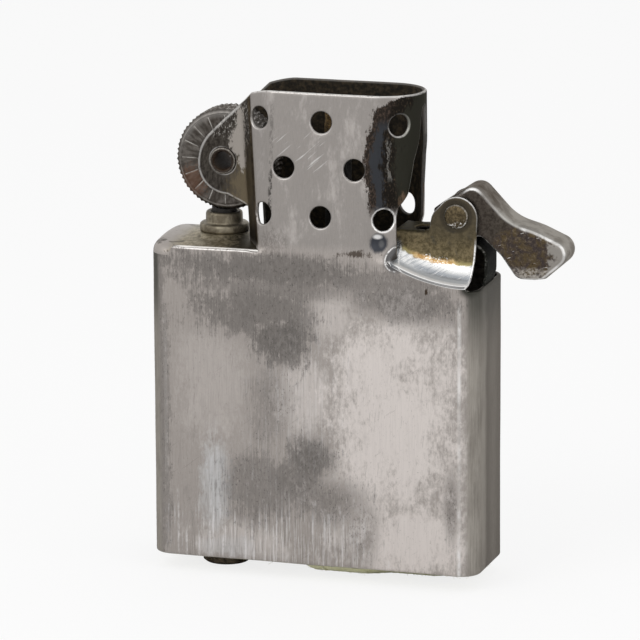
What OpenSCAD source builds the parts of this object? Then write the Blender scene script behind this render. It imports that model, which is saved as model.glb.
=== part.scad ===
// Inner unit of a windproof lighter: a drawn sheet case with its chimney, a file wheel on a
// hollow rivet, a lid cam with its leaf spring, the flint feed, the wick, its packing and the felt.
// X runs from the wheel end to the cam end, Y from front to back, and Z = 0 is the standing plane.

/* [Case] */
// Width of the case from end to end
case_w = 35.6; // [34:0.1:38]
// Depth of the case from front to back
case_d = 11.4; // [11:0.1:12.6]
// Outside radius of the upright corners
corner_r = 2.2; // [1.6:0.1:3]
// Height from the bottom rim to the shoulder
case_h = 33.3; // [31:0.1:40]
// How far the felt and the screw head stand below the bottom rim
foot_h = 1.7; // [1.4:0.1:2.4]
// Thickness of the drawn sheet
sheet = 0.45; // [0.35:0.01:0.55]
// Outside bend radius between the wheel end and the shoulder
shoulder_r = 0.9; // [0.5:0.1:1.5]

/* [Chimney] */
// Height of the chimney above the shoulder
chimney_h = 16.65; // [15:0.05:19]
// How far each broad wall leans in from the shoulder to the rim
lean = 1.5; // [0.8:0.1:1.8]
// Distance from the cam end of the case to the round end of the chimney
chimney_in = 7.1; // [6.8:0.1:7.6]
// Distance from the wheel end of the case to the crease in each broad wall
crease_in = 13.2; // [12.7:0.1:14]
// Angle at which the strip beyond the crease turns inward
strip_turn = 22; // [15:1:28]
// Distance from the wheel end of the case to the strip's edge at the shoulder
strip_in_low = 12.05; // [11.8:0.05:12.4]
// Distance from the wheel end of the case to the strip's edge at the rim
strip_in_top = 10.6; // [10.2:0.05:11]
// Distance from the wheel end of the case to the root of the wheel ears at the shoulder
root_in_low = 10.2; // [9.8:0.05:10.6]
// Distance from the wheel end of the case to the root of the wheel ears at the rim
root_in_top = 9.2; // [8.9:0.05:9.5]
// Drop of the rim at its two wheel-side corners
rim_drop = 0.7; // [0.3:0.05:1.2]

/* [Air holes] */
// Diameter of the punched air holes
hole_d = 2.25; // [1.8:0.05:2.6]
// Height of the lowest row above the shoulder
row_low = 3.85; // [3.4:0.05:4.4]
// Height of the middle row above the shoulder
row_mid = 8.75; // [8:0.05:9.5]
// Height of the top row above the shoulder
row_top = 13.6; // [12.4:0.05:13.8]
// Distance from the wheel end of the case to the middle hole of the outer rows
hole_in = 18.8; // [18.4:0.05:19.2]
// Spacing of the holes in the lowest row
pitch_low = 6.45; // [6.2:0.05:6.6]
// Spacing of the two holes in the middle row
pitch_mid = 7.65; // [7:0.05:8]
// Shift of the middle row towards the wheel end
row_shift = 0.3; // [0:0.05:0.6]
// Spacing from the middle hole to the hole in the creased strip, top row
pitch_top_strip = 7.15; // [6.8:0.05:7.4]
// Spacing from the middle hole to the hole in the round end, top row
pitch_top_end = 7.9; // [7.4:0.05:8.1]

/* [Vent in the round end] */
// Depth of the closed band left between the vent and the rim
vent_band = 1.4; // [1:0.1:2.5]
// Width of the vent at its top
vent_w_top = 2.3; // [1.6:0.1:3]
// Width of the vent where its sides start to spread
vent_w_neck = 2.8; // [2.6:0.1:3.4]
// Height of the narrow part of the vent
vent_neck_h = 3.2; // [2:0.1:5]
// Width of the vent where it meets the saddle
vent_w_low = 8; // [7:0.1:8.6]

/* [Flint wheel] */
// Outside diameter of the wheel over its teeth
wheel_d = 10.7; // [10.2:0.05:10.9]
// Width of the wheel
wheel_w = 3.6; // [3:0.1:4.2]
// Number of teeth round the rim
teeth = 64; // [40:1:80]
// Depth of the teeth
tooth_h = 0.18; // [0.1:0.01:0.3]
// Bevel on both edges of the rim
wheel_bevel = 0.35; // [0.2:0.05:0.5]
// Distance from the wheel end of the case to the wheel's axis
wheel_in = 7.3; // [7:0.05:7.6]
// Height of the wheel's axis above the shoulder
wheel_up = 8.67; // [8.5:0.01:9.2]
// Outside diameter of the hollow rivet
eyelet_d = 2.4; // [2.3:0.05:2.7]
// Bore of the hollow rivet
eyelet_bore = 2; // [1.6:0.05:2.1]
// Diameter of the rolled heads of the hollow rivet
eyelet_head_d = 2.9; // [2.8:0.05:3.2]
// Height of the rolled heads of the hollow rivet
eyelet_head_h = 0.25; // [0.15:0.05:0.4]
// Radius of the wheel ears' round lower end
wheel_ear_r = 3.15; // [2.8:0.05:3.3]
// How far the centre of that round lies below the wheel's axis
wheel_ear_drop = 0.5; // [0.2:0.05:0.7]

/* [Saddle and cam ears] */
// Distance from the cam end of the case to where the saddle starts
saddle_in = 9.6; // [9.3:0.1:9.8]
// Drop of the saddle's outer edge below the shoulder
saddle_drop = 1.95; // [1.2:0.05:2.4]
// Height of the saddle's upright flanks above the shoulder
flank_up = 1.6; // [1.4:0.1:2]
// Height of the saddle's crown above the shoulder
crown_up = 2.4; // [2.2:0.1:2.8]
// Distance from the cam end of the case to the end of the cam slot
slot_in = 7.9; // [7.5:0.1:8.1]
// Drop of the end wall's top edge below the shoulder
end_drop = 3; // [2.6:0.1:3.6]
// Radius of the cam ears
cam_ear_r = 2.15; // [1.9:0.05:2.3]

/* [Cam] */
// Distance from the cam end of the case to the cam's pivot
pivot_in = 3.04; // [2.9:0.02:3.2]
// Height of the cam's pivot above the shoulder
pivot_up = 4.27; // [4.1:0.01:4.6]
// Width of the cam over its cheeks
cam_w = 4.2; // [3.6:0.1:4.6]
// Thickness of the cam's sheet
cam_sheet = 0.7; // [0.5:0.05:0.9]
// Distance from the pivot to each of the two flats that rest on the leaf spring
cam_flat = 2.9; // [2.7:0.05:3]
// Distance from the pivot to the end of the toe
cam_reach = 11.1; // [10:0.1:12]
// How far the toe reaches below the pivot
toe_drop = 6.4; // [5.6:0.1:7]
// Height of the cam's peak above the pivot
cam_peak = 3.1; // [2.8:0.05:3.4]
// Diameter of the cam rivet
cam_pin_d = 1.7; // [1.4:0.05:2]
// Diameter of the cam rivet's heads
cam_head_d = 2.6; // [2.4:0.05:3]
// Height of the cam rivet's heads
cam_head_h = 0.4; // [0.2:0.05:0.6]
// Thickness of the leaf spring
leaf_t = 0.3; // [0.2:0.01:0.35]
// Width of the leaf spring
leaf_w = 3.8; // [3:0.1:4]
// Bend radius of the leaf spring
leaf_bend = 1.8; // [1.2:0.1:2]
// Length of the leaf that lies under the cam
leaf_reach = 5; // [4:0.1:5.5]
// Length of the leaf that is welded to the end wall, measured down from its bend
leaf_h = 12; // [8:0.5:14]

/* [Flint feed] */
// Distance from the wheel end of the case to the flint tube's axis
tube_in = 6.6; // [6.4:0.05:6.8]
// Outside diameter of the flint tube
tube_d = 3.9; // [3.7:0.05:4.1]
// Bore of the flint tube
tube_bore = 2.7; // [2.6:0.05:2.9]
// Height of the flint tube's top end above the shoulder
tube_up = 2.9; // [2.6:0.05:3]
// Diameter of the flint tube's flange
flange_d = 5.2; // [4.8:0.1:5.4]
// Thickness of the flint tube's flange
flange_t = 1; // [0.6:0.1:1.1]
// Height of the raised boss under the flange
boss_h = 0.8; // [0.5:0.1:1]
// Diameter of the raised boss at the shoulder
boss_d = 6; // [5.6:0.1:6.2]
// Length of the flint
flint_l = 5; // [3:0.1:6]
// How far the flint's worn end rises round the wheel
flint_wear = 0.2; // [0.1:0.05:0.4]
// Length of the plunger's head
plunger_head = 2; // [1.5:0.1:3]
// Length of the plunger's stem
plunger_stem = 3; // [2:0.1:4]
// Outside diameter of the flint spring
spring_d = 2.4; // [2.2:0.05:2.5]
// Wire of the flint spring
spring_wire = 0.35; // [0.25:0.01:0.4]
// Number of turns of the flint spring
spring_turns = 22; // [16:1:24]
// Diameter of the flint screw's head
screw_head_d = 5.1; // [4.8:0.1:5.6]
// Thickness of the flint screw's head
screw_head_t = 1.15; // [0.8:0.05:1.3]
// Length of the flint screw's thread
screw_l = 6.5; // [5.5:0.1:8]
// Width of the screwdriver slot
slot_w = 0.8; // [0.5:0.05:1]
// Depth of the screwdriver slot
slot_t = 0.7; // [0.4:0.05:0.75]
// Length of the tang at the screw's inner end
tang_l = 1.5; // [1:0.1:2]

/* [Wick and packing] */
// Distance from the wheel end of the case to the wick
wick_in = 19.1; // [18.8:0.05:19.4]
// Diameter of the wick
wick_d = 3; // [2.4:0.1:3.2]
// Diameter of the wire inside the wick
wick_wire_d = 0.5; // [0.3:0.05:0.7]
// How far the wick stops below the rim of the chimney
wick_low = 1.5; // [0.8:0.1:4]
// How far the wick swings from side to side among the packing
wick_swing = 1.3; // [0.8:0.1:1.5]
// Number of packing balls on each side of the wick
ball_rows = 3; // [2:1:4]
// Radius of the packing balls' edges
ball_r = 2.2; // [1.4:0.1:2.6]

/* [Felt] */
// Thickness of the felt above the bottom rim
felt_t = 2.9; // [2:0.1:4]
// Distance from the wheel end of the case to the fold of the felt
fold_in = 18.8; // [17.6:0.1:19.2]
// Distance from the wheel end of the case to where the felt starts to hang below the rim
felt_bulge_in = 9.6; // [9:0.1:11]
// Distance from the wheel end of the case to where the felt's lower face becomes flat
felt_flat_in = 16.8; // [15:0.1:17.2]
// Distance from the cam end of the case to where the flat ends
felt_flat_out = 7.3; // [5:0.1:9]
// Height of the felt's lower face at the cam end
felt_end_up = 1.3; // [0.8:0.05:1.5]
// Half width of the flat strip on which the felt rests
felt_flat = 2.2; // [1.6:0.1:2.8]
// Height to which the felt's lower face rises at its front and back edges
felt_crown = 0.95; // [0.5:0.05:1.2]
// Radius of the crown on the felt's lower face
felt_round = 4.2; // [3.6:0.1:6]

/* [Fits] */
// Running clearance at the radius of each pin and bore
run_gap = 0.05; // [0.03:0.01:0.08]
// Gap between the wheel or the cam and the ear beside it
side_gap = 0.15; // [0.1:0.01:0.25]
// Gap at pieces that are held but not pressed
seat_gap = 0.02; // [0.01:0.01:0.04]
// Gap left round the felt and the packing
soft_gap = 0.25; // [0.2:0.01:0.35]

/* [Hidden] */
$fn = 64;
// How far a cutting body reaches past what it cuts
cut = 0.5;
// Hair's breadth between faces that would otherwise coincide
skin = 0.01;
// How far one body runs into the next
lap = 0.1;

wheel_end = -case_w / 2;
cam_end = case_w / 2;
rim_z = foot_h;
shoulder_z = rim_z + case_h;
chimney_z = shoulder_z + chimney_h;
half_d = case_d / 2;
in_w = case_w - 2 * sheet;
in_d = case_d - 2 * sheet;
in_r = corner_r - sheet;

wheel_x = wheel_end + wheel_in;
wheel_z = shoulder_z + wheel_up;
wheel_ear_in = wheel_w / 2 + side_gap;
wheel_ear_out = wheel_ear_in + sheet;
eyelet_half = wheel_ear_out + eyelet_head_h;

pivot_x = cam_end - pivot_in;
pivot_z = shoulder_z + pivot_up;
cam_ear_in = cam_w / 2 + side_gap;
cam_ear_out = cam_ear_in + sheet;
saddle_x = cam_end - saddle_in;
slot_x = cam_end - slot_in;
ear_end_x = pivot_x + cam_ear_r;
flank_z = shoulder_z + flank_up;
crown_z = shoulder_z + crown_up;
end_z = shoulder_z - end_drop;

chimney_end = cam_end - chimney_in;
crease_x = wheel_end + crease_in;
hole_x = wheel_end + hole_in;

tube_x = wheel_end + tube_in;
tube_top = shoulder_z + tube_up;
tube_low = screw_head_t + 0.15;
flint_top = wheel_z - wheel_d / 2 + flint_wear;
flint_low = flint_top - flint_l;
feed_r = tube_bore / 2 - run_gap;
plunger_low = flint_low - plunger_head;
screw_top = screw_head_t + screw_l;
coil_r = (spring_d - spring_wire) / 2;
tang_r = coil_r - spring_wire / 2 - 2 * run_gap;

wick_x = wheel_end + wick_in;
wick_top = chimney_z - wick_low;
felt_top = rim_z + felt_t;
pack_low = felt_top + soft_gap;
pack_top = shoulder_z - sheet - soft_gap;
wick_end = pack_low + soft_gap;
row_h = (pack_top - pack_low) / ball_rows;
leaf_x = cam_end - sheet - leaf_t - seat_gap;
leaf_z = pivot_z - cam_flat - seat_gap;
fold_x = wheel_end + fold_in;

function unit(v) = v / norm(v);

// Share of the chimney's height at level z, from 0 at the shoulder to 1 at the rim
function rise(z) = (z - shoulder_z) / chimney_h;
function wall_y(z) = half_d - lean * rise(z);
function round_x(z) = chimney_end - wall_y(z);

// Depth of the chimney's outer wall at x on level z, and the way it faces there
function strip_y(x, z) = wall_y(z) - (crease_x - x) * tan(strip_turn);
function face_turn(x, z) = x < crease_x ? -strip_turn
    : x < round_x(z) ? 0 : asin((x - round_x(z)) / wall_y(z));
function face_y(x, z) = x < crease_x ? strip_y(x, z)
    : x < round_x(z) ? wall_y(z) : wall_y(z) * cos(face_turn(x, z));

// Round at corner b between a and c
function corner(a, b, c, r, n = 8) =
    let (u = unit(a - b), v = unit(c - b), half = acos(u * v) / 2,
         o = b + unit(u + v) * r / sin(half),
         s = b + u * r / tan(half) - o, e = b + v * r / tan(half) - o,
         a0 = atan2(s[1], s[0]), turn = atan2(s[0] * e[1] - s[1] * e[0], s * e))
    r == 0 ? [b] : [for (k = [0 : n]) o + r * [cos(a0 + turn * k / n), sin(a0 + turn * k / n)]];

// Closed outline from corners written as [x, y, radius]
function outline(p) = [for (i = [0 : len(p) - 1])
    let (a = p[(i + len(p) - 1) % len(p)], b = p[i], c = p[(i + 1) % len(p)])
    each corner([a[0], a[1]], [b[0], b[1]], [c[0], c[1]], b[2])];

// Open line from corners written as [x, y, radius]
function bent_line(p) = [for (i = [0 : len(p) - 1])
    let (b = [p[i][0], p[i][1]])
    each i == 0 || i == len(p) - 1 ? [b]
        : corner([p[i - 1][0], p[i - 1][1]], b, [p[i + 1][0], p[i + 1][1]], p[i][2])];

// The points of an open line moved sideways by d, mitred at each corner
function moved(p, d) = [for (i = [0 : len(p) - 1])
    let (a = unit(i > 0 ? p[i] - p[i - 1] : p[1] - p[0]),
         b = unit(i < len(p) - 1 ? p[i + 1] - p[i] : p[i] - p[i - 1]),
         m = unit([-a[1] - b[1], a[0] + b[0]]))
    p[i] + m * d / (m * [-a[1], a[0]])];

function backward(p) = [for (i = [len(p) - 1 : -1 : 0]) p[i]];

// Faces of a body whose closed sections follow one another, with m sections of n points.
// Each section runs anticlockwise, seen from the last section.
function loft_faces(m, n) = concat(
    [[for (i = [0 : n - 1]) i]],
    [for (s = [0 : m - 2]) for (i = [0 : n - 1]) let (j = (i + 1) % n, a = s * n, b = a + n)
        each [[a + i, b + j, a + j], [a + i, b + i, b + j]]],
    [[for (i = [n - 1 : -1 : 0]) (m - 1) * n + i]]);

module loft(sections) {
    polyhedron([for (s = sections) each s], loft_faces(len(sections), len(sections[0])));
}

// Ring of n points about point p of a tube that runs along t, with side as a way across it
function ring(p, t, side, r, n) =
    let (u = unit(cross(side, t)), v = cross(t, u))
    [for (k = [0 : n - 1]) p + r * (cos(360 * k / n) * u + sin(360 * k / n) * v)];
function along(p, i) = unit(p[min(i + 1, len(p) - 1)] - p[max(i - 1, 0)]);

// Straight pin or tube that lies along Y
module across(d, half) {
    rotate([90, 0, 0]) cylinder(d = d, h = 2 * half, center = true);
}

// Outline in the XZ plane, carried along Y
module side_cut(points, half) {
    rotate([90, 0, 0]) linear_extrude(2 * half, center = true) polygon(points);
}

module plan(w, d, r) {
    square([w - 2 * r, d], center = true);
    square([w, d - 2 * r], center = true);
    for (x = [-1, 1], y = [-1, 1]) translate([x * (w / 2 - r), y * (d / 2 - r)]) circle(r);
}

// The saddle is a cove that is swept round a far centre above the cam end, so that its outer
// edge runs down from the shoulder in an arc
edge_r = (pow(ear_end_x - saddle_x, 2) + pow(saddle_drop, 2)) / (2 * saddle_drop);
sweep_z = shoulder_z - saddle_drop + edge_r;
cove_r = half_d - cam_ear_out + lap;
cove_at = edge_r - cove_r;

// Disc round the sweep's centre that reaches from wall to wall
module sweep_disc(r, half) {
    translate([ear_end_x, 0, sweep_z]) rotate([90, 0, 0])
        cylinder(r = r, h = 2 * half, center = true, $fn = 240);
}

module case_tube() {
    difference() {
        translate([0, 0, rim_z]) linear_extrude(case_h) plan(case_w, case_d, corner_r);
        translate([0, 0, rim_z - cut])
            linear_extrude(case_h - sheet + cut) plan(in_w, in_d, in_r);
        // Bend between the wheel end and the shoulder
        translate([wheel_end, 0, shoulder_z]) difference() {
            cube([2 * shoulder_r, case_d + cut, 2 * shoulder_r], center = true);
            translate([shoulder_r, 0, -shoulder_r]) across(2 * shoulder_r, case_d);
        }
        // Open top of the cam end, under the saddle
        translate([saddle_x, -in_d / 2, shoulder_z - sheet - cut]) cube([in_w, in_d, case_h]);
        intersection() {
            sweep_disc(edge_r + sheet / 2, case_d);
            translate([saddle_x, -case_d, end_z]) cube([ear_end_x - lap - saddle_x, 2 * case_d, edge_r]);
        }
        translate([ear_end_x - lap - skin, -case_d, end_z]) cube([case_w, 2 * case_d, case_h]);
        translate([wick_x, 0, shoulder_z])
            cylinder(d = wick_d + 2 * soft_gap, h = 2 * cut + sheet, center = true);
        tube_hole();
    }
}

module tube_hole() {
    translate([tube_x, 0, shoulder_z]) cylinder(d = tube_d + 2 * seat_gap, h = 4 * boss_h, center = true);
}

module boss() {
    difference() {
        translate([tube_x, 0, shoulder_z - skin]) cylinder(d1 = boss_d, d2 = flange_d, h = boss_h + skin);
        tube_hole();
    }
}

// Plan of the chimney on level z, moved inward by t, with its mouth let out by mouth
function chimney_side(z, t, mouth) =
    let (k = rise(z),
         strip_x = wheel_end + strip_in_low + k * (strip_in_top - strip_in_low),
         root_x = wheel_end + root_in_low + k * (root_in_top - root_in_low),
         line = [[root_x - 2, wheel_ear_out], [root_x, wheel_ear_out], [strip_x, strip_y(strip_x, z)],
                 [crease_x, wall_y(z)], [round_x(z), wall_y(z)]],
         inner = moved(line, -t))
    concat([[root_x - mouth, wheel_ear_out - t]], [for (i = [1 : 3]) inner[i]],
        [for (k = [0 : 16]) let (a = 90 - 90 * k / 16)
            [round_x(z) + (wall_y(z) - t) * cos(a), (wall_y(z) - t) * sin(a)]]);
function chimney_plan(z, t, mouth) =
    let (s = chimney_side(z, t, mouth)) concat(s, [for (p = backward(s)) [p[0], -p[1]]]);

module chimney_body(low, top, t, mouth) {
    loft([for (z = [low, top]) [for (p = backward(chimney_plan(z, t, mouth))) [p[0], p[1], z]]]);
}

module chimney() {
    root = wheel_end + root_in_top;
    difference() {
        chimney_body(shoulder_z - sheet / 2, chimney_z, 0, 0);
        chimney_body(shoulder_z - sheet, chimney_z + cut, sheet, cut);
        // Rounded wheel-side corners of the rim
        side_cut([[crease_x, chimney_z], [(crease_x + root) / 2, chimney_z - rim_drop * 0.3],
            [root, chimney_z - rim_drop], [root - 2, chimney_z - rim_drop - 1], [root - 2, chimney_z + cut],
            [crease_x, chimney_z + cut]], case_d);
        vent();
        air_holes();
    }
}

module vent() {
    vent_top = chimney_z - vent_band;
    top_r = 0.6;
    neck_r = 3;
    side = [[vent_w_top / 2, vent_top, top_r], [vent_w_neck / 2, vent_top - vent_neck_h, neck_r],
            [vent_w_low / 2, flank_z, 0], [vent_w_low / 2, shoulder_z - cut, 0]];
    points = concat([for (p = side) [p[0], p[1], p[2]]], [for (p = backward(side)) [-p[0], p[1], p[2]]]);
    translate([chimney_end, 0, 0]) rotate([90, 0, 90])
        linear_extrude(2 * half_d, center = true) polygon(outline(points));
}

module punch(x, z) {
    for (s = [-1, 1])
        translate([x, s * face_y(x, z), z]) rotate([90, 0, -s * face_turn(x, z)])
            cylinder(d = hole_d, h = 3, center = true);
}

module air_holes() {
    for (x = [hole_x - pitch_low, hole_x, hole_x + pitch_low]) punch(x, shoulder_z + row_low);
    for (x = [-1, 1]) punch(hole_x - row_shift + x * pitch_mid / 2, shoulder_z + row_mid);
    for (x = [hole_x - pitch_top_strip, hole_x, hole_x + pitch_top_end]) punch(x, shoulder_z + row_top);
}

module wheel_ears() {
    ear_z = wheel_z - wheel_ear_drop;
    ear_x = wheel_x + wheel_ear_drop / 2;
    root_x = wheel_end + root_in_top;
    root_z = chimney_z - rim_drop;
    span = norm([root_x - ear_x, root_z - ear_z]);
    lie = atan2(root_z - ear_z, root_x - ear_x) + acos(wheel_ear_r / span);
    touch = [ear_x + wheel_ear_r * cos(lie), ear_z + wheel_ear_r * sin(lie)];
    for (s = [-1, 1]) difference() {
        translate([0, s * (wheel_ear_out - sheet / 2), 0]) rotate([90, 0, 0])
            linear_extrude(sheet - 2 * skin, center = true) {
                translate([ear_x, ear_z]) circle(wheel_ear_r);
                polygon([touch, [root_x, root_z], [root_x + 0.6, root_z - 0.5],
                    [wheel_end + root_in_low + 0.2, ear_z - wheel_ear_r], [ear_x, ear_z - wheel_ear_r],
                    [ear_x, ear_z]]);
            }
        translate([wheel_x, 0, wheel_z]) across(eyelet_d + 2 * seat_gap, case_d);
    }
}

// Both flanks of the saddle
module flanks() {
    section_y = half_d - skin;
    intersection() {
        translate([ear_end_x, 0, sweep_z]) rotate([90, 0, 0]) rotate_extrude($fn = 240) intersection() {
            for (s = [-1, 1]) translate([cove_at, s * half_d]) difference() {
                circle(cove_r + sheet);
                circle(cove_r);
            }
            for (s = [-1, 1]) translate([cove_at, s > 0 ? cam_ear_in + lap : -section_y])
                square([cove_r + sheet, section_y - cam_ear_in - lap]);
        }
        translate([saddle_x - sheet, -half_d, end_z])
            cube([ear_end_x - lap - saddle_x + sheet, case_d, flank_z - end_z]);
    }
}

// Arch over the start of the cam slot, moved inward by t
function crown_line(t) = [for (k = [0 : 16]) let (a = 180 - 180 * k / 16)
    [(cam_ear_out - t) * cos(a), flank_z + (crown_z - flank_z - t) * pow(sin(a), 0.7)]];

// Line through the middle of the flank's thickness on the section at x
function cove_line(x) = [for (a = [5 : 10 : 55]) let (m = cove_r + sheet / 2)
    [-half_d + m * sin(a), sweep_z - sqrt(pow(cove_at + m * cos(a), 2) - pow(ear_end_x - x, 2))]];

module saddle() {
    start = saddle_x - sheet + lap / 2;
    // The arch's feet run this far down into the flanks
    foot_lap = 0.6;
    foot = flank_z - foot_lap;
    web = concat([[-in_d / 2, shoulder_z - 0.8 * sheet]], cove_line(start),
        [[-cam_ear_out + lap, flank_z - lap]]);
    flanks();
    translate([start, 0, 0]) rotate([90, 0, 90]) {
        linear_extrude(slot_x - start) polygon(concat(
            [[-cam_ear_out, foot]], crown_line(0), [[cam_ear_out, foot], [cam_ear_in, foot]],
            backward(crown_line(sheet)), [[-cam_ear_in, foot]]));
        // Web that closes the saddle towards the chimney
        linear_extrude(sheet - lap)
            polygon(concat(web, crown_line(sheet / 2), [for (p = backward(web)) [-p[0], p[1]]]));
    }
    for (s = [-1, 1]) cam_ear(s);
}

module cam_ear(s) {
    lobe = pivot_x - cam_ear_r;
    back_x = slot_x - 0.4;
    // Radius to which the ear's foot runs into the cove
    foot_r = cove_at + 1.2;
    difference() {
        intersection() {
            translate([0, s * (cam_ear_out - sheet / 2), 0]) rotate([90, 0, 0])
                linear_extrude(sheet, center = true) {
                    translate([pivot_x, pivot_z]) circle(cam_ear_r);
                    polygon([[ear_end_x, end_z], [ear_end_x, pivot_z], [pivot_x, pivot_z],
                        [lobe + 0.05, pivot_z - 0.1], [lobe - 1, crown_z + 0.3],
                        [slot_x, crown_z - 0.4], [back_x, flank_z], [back_x, end_z]]);
                }
            sweep_disc(foot_r, case_d);
        }
        translate([pivot_x, 0, pivot_z]) across(cam_pin_d + 2 * seat_gap, case_d);
    }
}

module insert_case() {
    color([0.6, 0.58, 0.56]) {
        case_tube();
        boss();
        chimney();
        wheel_ears();
        saddle();
    }
}

module flint_wheel() {
    step = 360 / teeth;
    r = wheel_d / 2;
    root_r = r - tooth_h;
    rim = wheel_w / 2 - wheel_bevel;
    color([0.36, 0.35, 0.34]) translate([wheel_x, 0, wheel_z]) rotate([90, 0, 0]) difference() {
        union() {
            linear_extrude(2 * rim, center = true)
                polygon([for (i = [0 : teeth - 1]) each [
                    r * [cos(i * step), sin(i * step)],
                    root_r * [cos((i + 0.6) * step), sin((i + 0.6) * step)]]]);
            for (s = [0, 180]) rotate([s, 0, 0]) translate([0, 0, rim - lap])
                cylinder(r1 = root_r - lap, r2 = root_r - lap - wheel_bevel, h = wheel_bevel + lap);
        }
        cylinder(d = eyelet_d + 2 * run_gap, h = wheel_w + cut, center = true);
    }
}

module wheel_rivet() {
    head_r = eyelet_head_d / 2;
    bore_r = eyelet_bore / 2;
    top = eyelet_half;
    ear = wheel_ear_out + seat_gap;
    color([0.5, 0.49, 0.46]) translate([wheel_x, 0, wheel_z]) rotate([90, 0, 0]) rotate_extrude()
        polygon([[bore_r, -top], [head_r - 0.15, -top], [head_r, -top + 0.12], [head_r, -ear],
            [eyelet_d / 2, -ear], [eyelet_d / 2, ear], [head_r, ear], [head_r, top - 0.12],
            [head_r - 0.15, top], [bore_r, top]]);
}

// Corners of the cam's upper line, from its heel over the peak to the end of the toe
toe_x = cam_reach + 1.35;
web_corners = [[-cam_flat, 0.35, 0.4], [1.72, cam_peak + 0.4, 0.9], [5.42, -0.45, 5],
    [toe_x, -2.35, 1.6], [toe_x - 3.6, -toe_drop, 0.5]];
// Corners of its lower line, from the toe back to the two flats
under_corners = [[toe_x - 6.15, -toe_drop, 1.2], [4.6, -4, 2], [2.1, -1.8, 0.6],
    [1.5, -cam_flat, 0.3], [-cam_flat, -cam_flat, 0.8]];

module cam() {
    corners = concat(web_corners, under_corners);
    web_line = bent_line(concat([[-cam_flat - 1, -0.33, 0]],
        [for (i = [1 : 3]) web_corners[i]], [[toe_x - 4.5, -toe_drop - 1, 0]]));
    inside = concat(moved(web_line, -cam_sheet),
        [[2, -toe_drop - 1], [-cam_flat - 1, -cam_flat - 1]]);
    color([0.34, 0.3, 0.27]) translate([pivot_x, 0, pivot_z]) difference() {
        side_cut(outline(corners), cam_w / 2);
        side_cut(inside, cam_w / 2 - cam_sheet);
        across(cam_pin_d + 2 * run_gap, cam_w);
    }
}

module cam_rivet() {
    top = cam_ear_out + seat_gap + cam_head_h;
    ear = cam_ear_out + seat_gap;
    r = cam_pin_d / 2;
    head_r = cam_head_d / 2;
    color([0.52, 0.48, 0.4]) translate([pivot_x, 0, pivot_z]) rotate([90, 0, 0]) rotate_extrude()
        polygon([[0, -top], [head_r * 0.5, -top + 0.06], [head_r, -ear - 0.12], [head_r, -ear],
            [r, -ear], [r, ear], [head_r, ear], [head_r, ear + 0.12], [head_r * 0.5, top - 0.06],
            [0, top]]);
}

module cam_spring() {
    tip_x = pivot_x - leaf_reach / 2;
    low = leaf_z - leaf_t;
    line = bent_line([[leaf_x, leaf_z - leaf_h, 0], [leaf_x, low, leaf_bend],
        [tip_x, low, 0.6], [tip_x - 0.6, low - 0.7, 0]]);
    color([0.45, 0.43, 0.4]) side_cut(concat(line, backward(moved(line, -leaf_t))), leaf_w / 2);
}

module flint_tube() {
    r = tube_d / 2;
    bore = tube_bore / 2;
    seat = shoulder_z + boss_h + seat_gap;
    color([0.55, 0.5, 0.36]) translate([tube_x, 0, 0]) rotate_extrude()
        polygon([[bore, tube_low], [r, tube_low], [r, seat], [flange_d / 2, seat],
            [flange_d / 2, seat + flange_t * 0.7], [flange_d / 2 - 0.3, seat + flange_t],
            [r, seat + flange_t], [r, tube_top - 0.2], [r - 0.2, tube_top], [bore, tube_top]]);
}

module flint() {
    color([0.32, 0.32, 0.33]) difference() {
        translate([tube_x, 0, flint_low + skin]) cylinder(r = feed_r, h = flint_l);
        // Hollow that the wheel wears in its end
        translate([wheel_x, 0, wheel_z]) across(wheel_d + 4 * run_gap, wheel_w);
    }
}

module flint_spring_tip() {
    color([0.72, 0.58, 0.3]) translate([tube_x, 0, 0]) {
        translate([0, 0, plunger_low]) cylinder(r = feed_r, h = plunger_head);
        translate([0, 0, plunger_low - plunger_stem]) cylinder(r = tang_r, h = plunger_stem + skin);
    }
}

module flint_spring() {
    steps = 8;
    low = screw_top + spring_wire / 2 + seat_gap;
    top = plunger_low - spring_wire / 2 - seat_gap;
    count = spring_turns * steps;
    pitch = (top - low) / spring_turns;
    path = [for (i = [0 : count]) [tube_x + coil_r * cos(360 * i / steps),
        coil_r * sin(360 * i / steps), low + (top - low) * i / count]];
    echo(least_gap_between_turns = pitch - spring_wire);
    color([0.6, 0.6, 0.6])
        loft([for (i = [0 : count]) ring(path[i], along(path, i), [0, 0, 1], spring_wire / 2, 6)]);
}

module flint_screw() {
    head_r = screw_head_d / 2;
    color([0.2, 0.18, 0.15]) translate([tube_x, 0, 0]) difference() {
        rotate_extrude() polygon([[0, 0], [head_r - 0.25, 0], [head_r, 0.2], [head_r, screw_head_t],
            [feed_r, screw_head_t], [feed_r, screw_top - 0.3], [feed_r - 0.3, screw_top],
            [tang_r, screw_top], [tang_r, screw_top + tang_l], [0, screw_top + tang_l]]);
        cube([screw_head_d + cut, slot_w, 2 * slot_t], center = true);
    }
}

// Way of the wick: straight through the chimney, then from side to side among the packing
function wick_way(z) = z > pack_top ? wick_x
    : wick_x + wick_swing * sin(180 * (pack_top - z) / row_h);
wick_rings = 40;
wick_path = [for (i = [0 : wick_rings]) let (z = wick_end + (wick_top - wick_end) * i / wick_rings)
    [wick_way(z), 0, z]];

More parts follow.
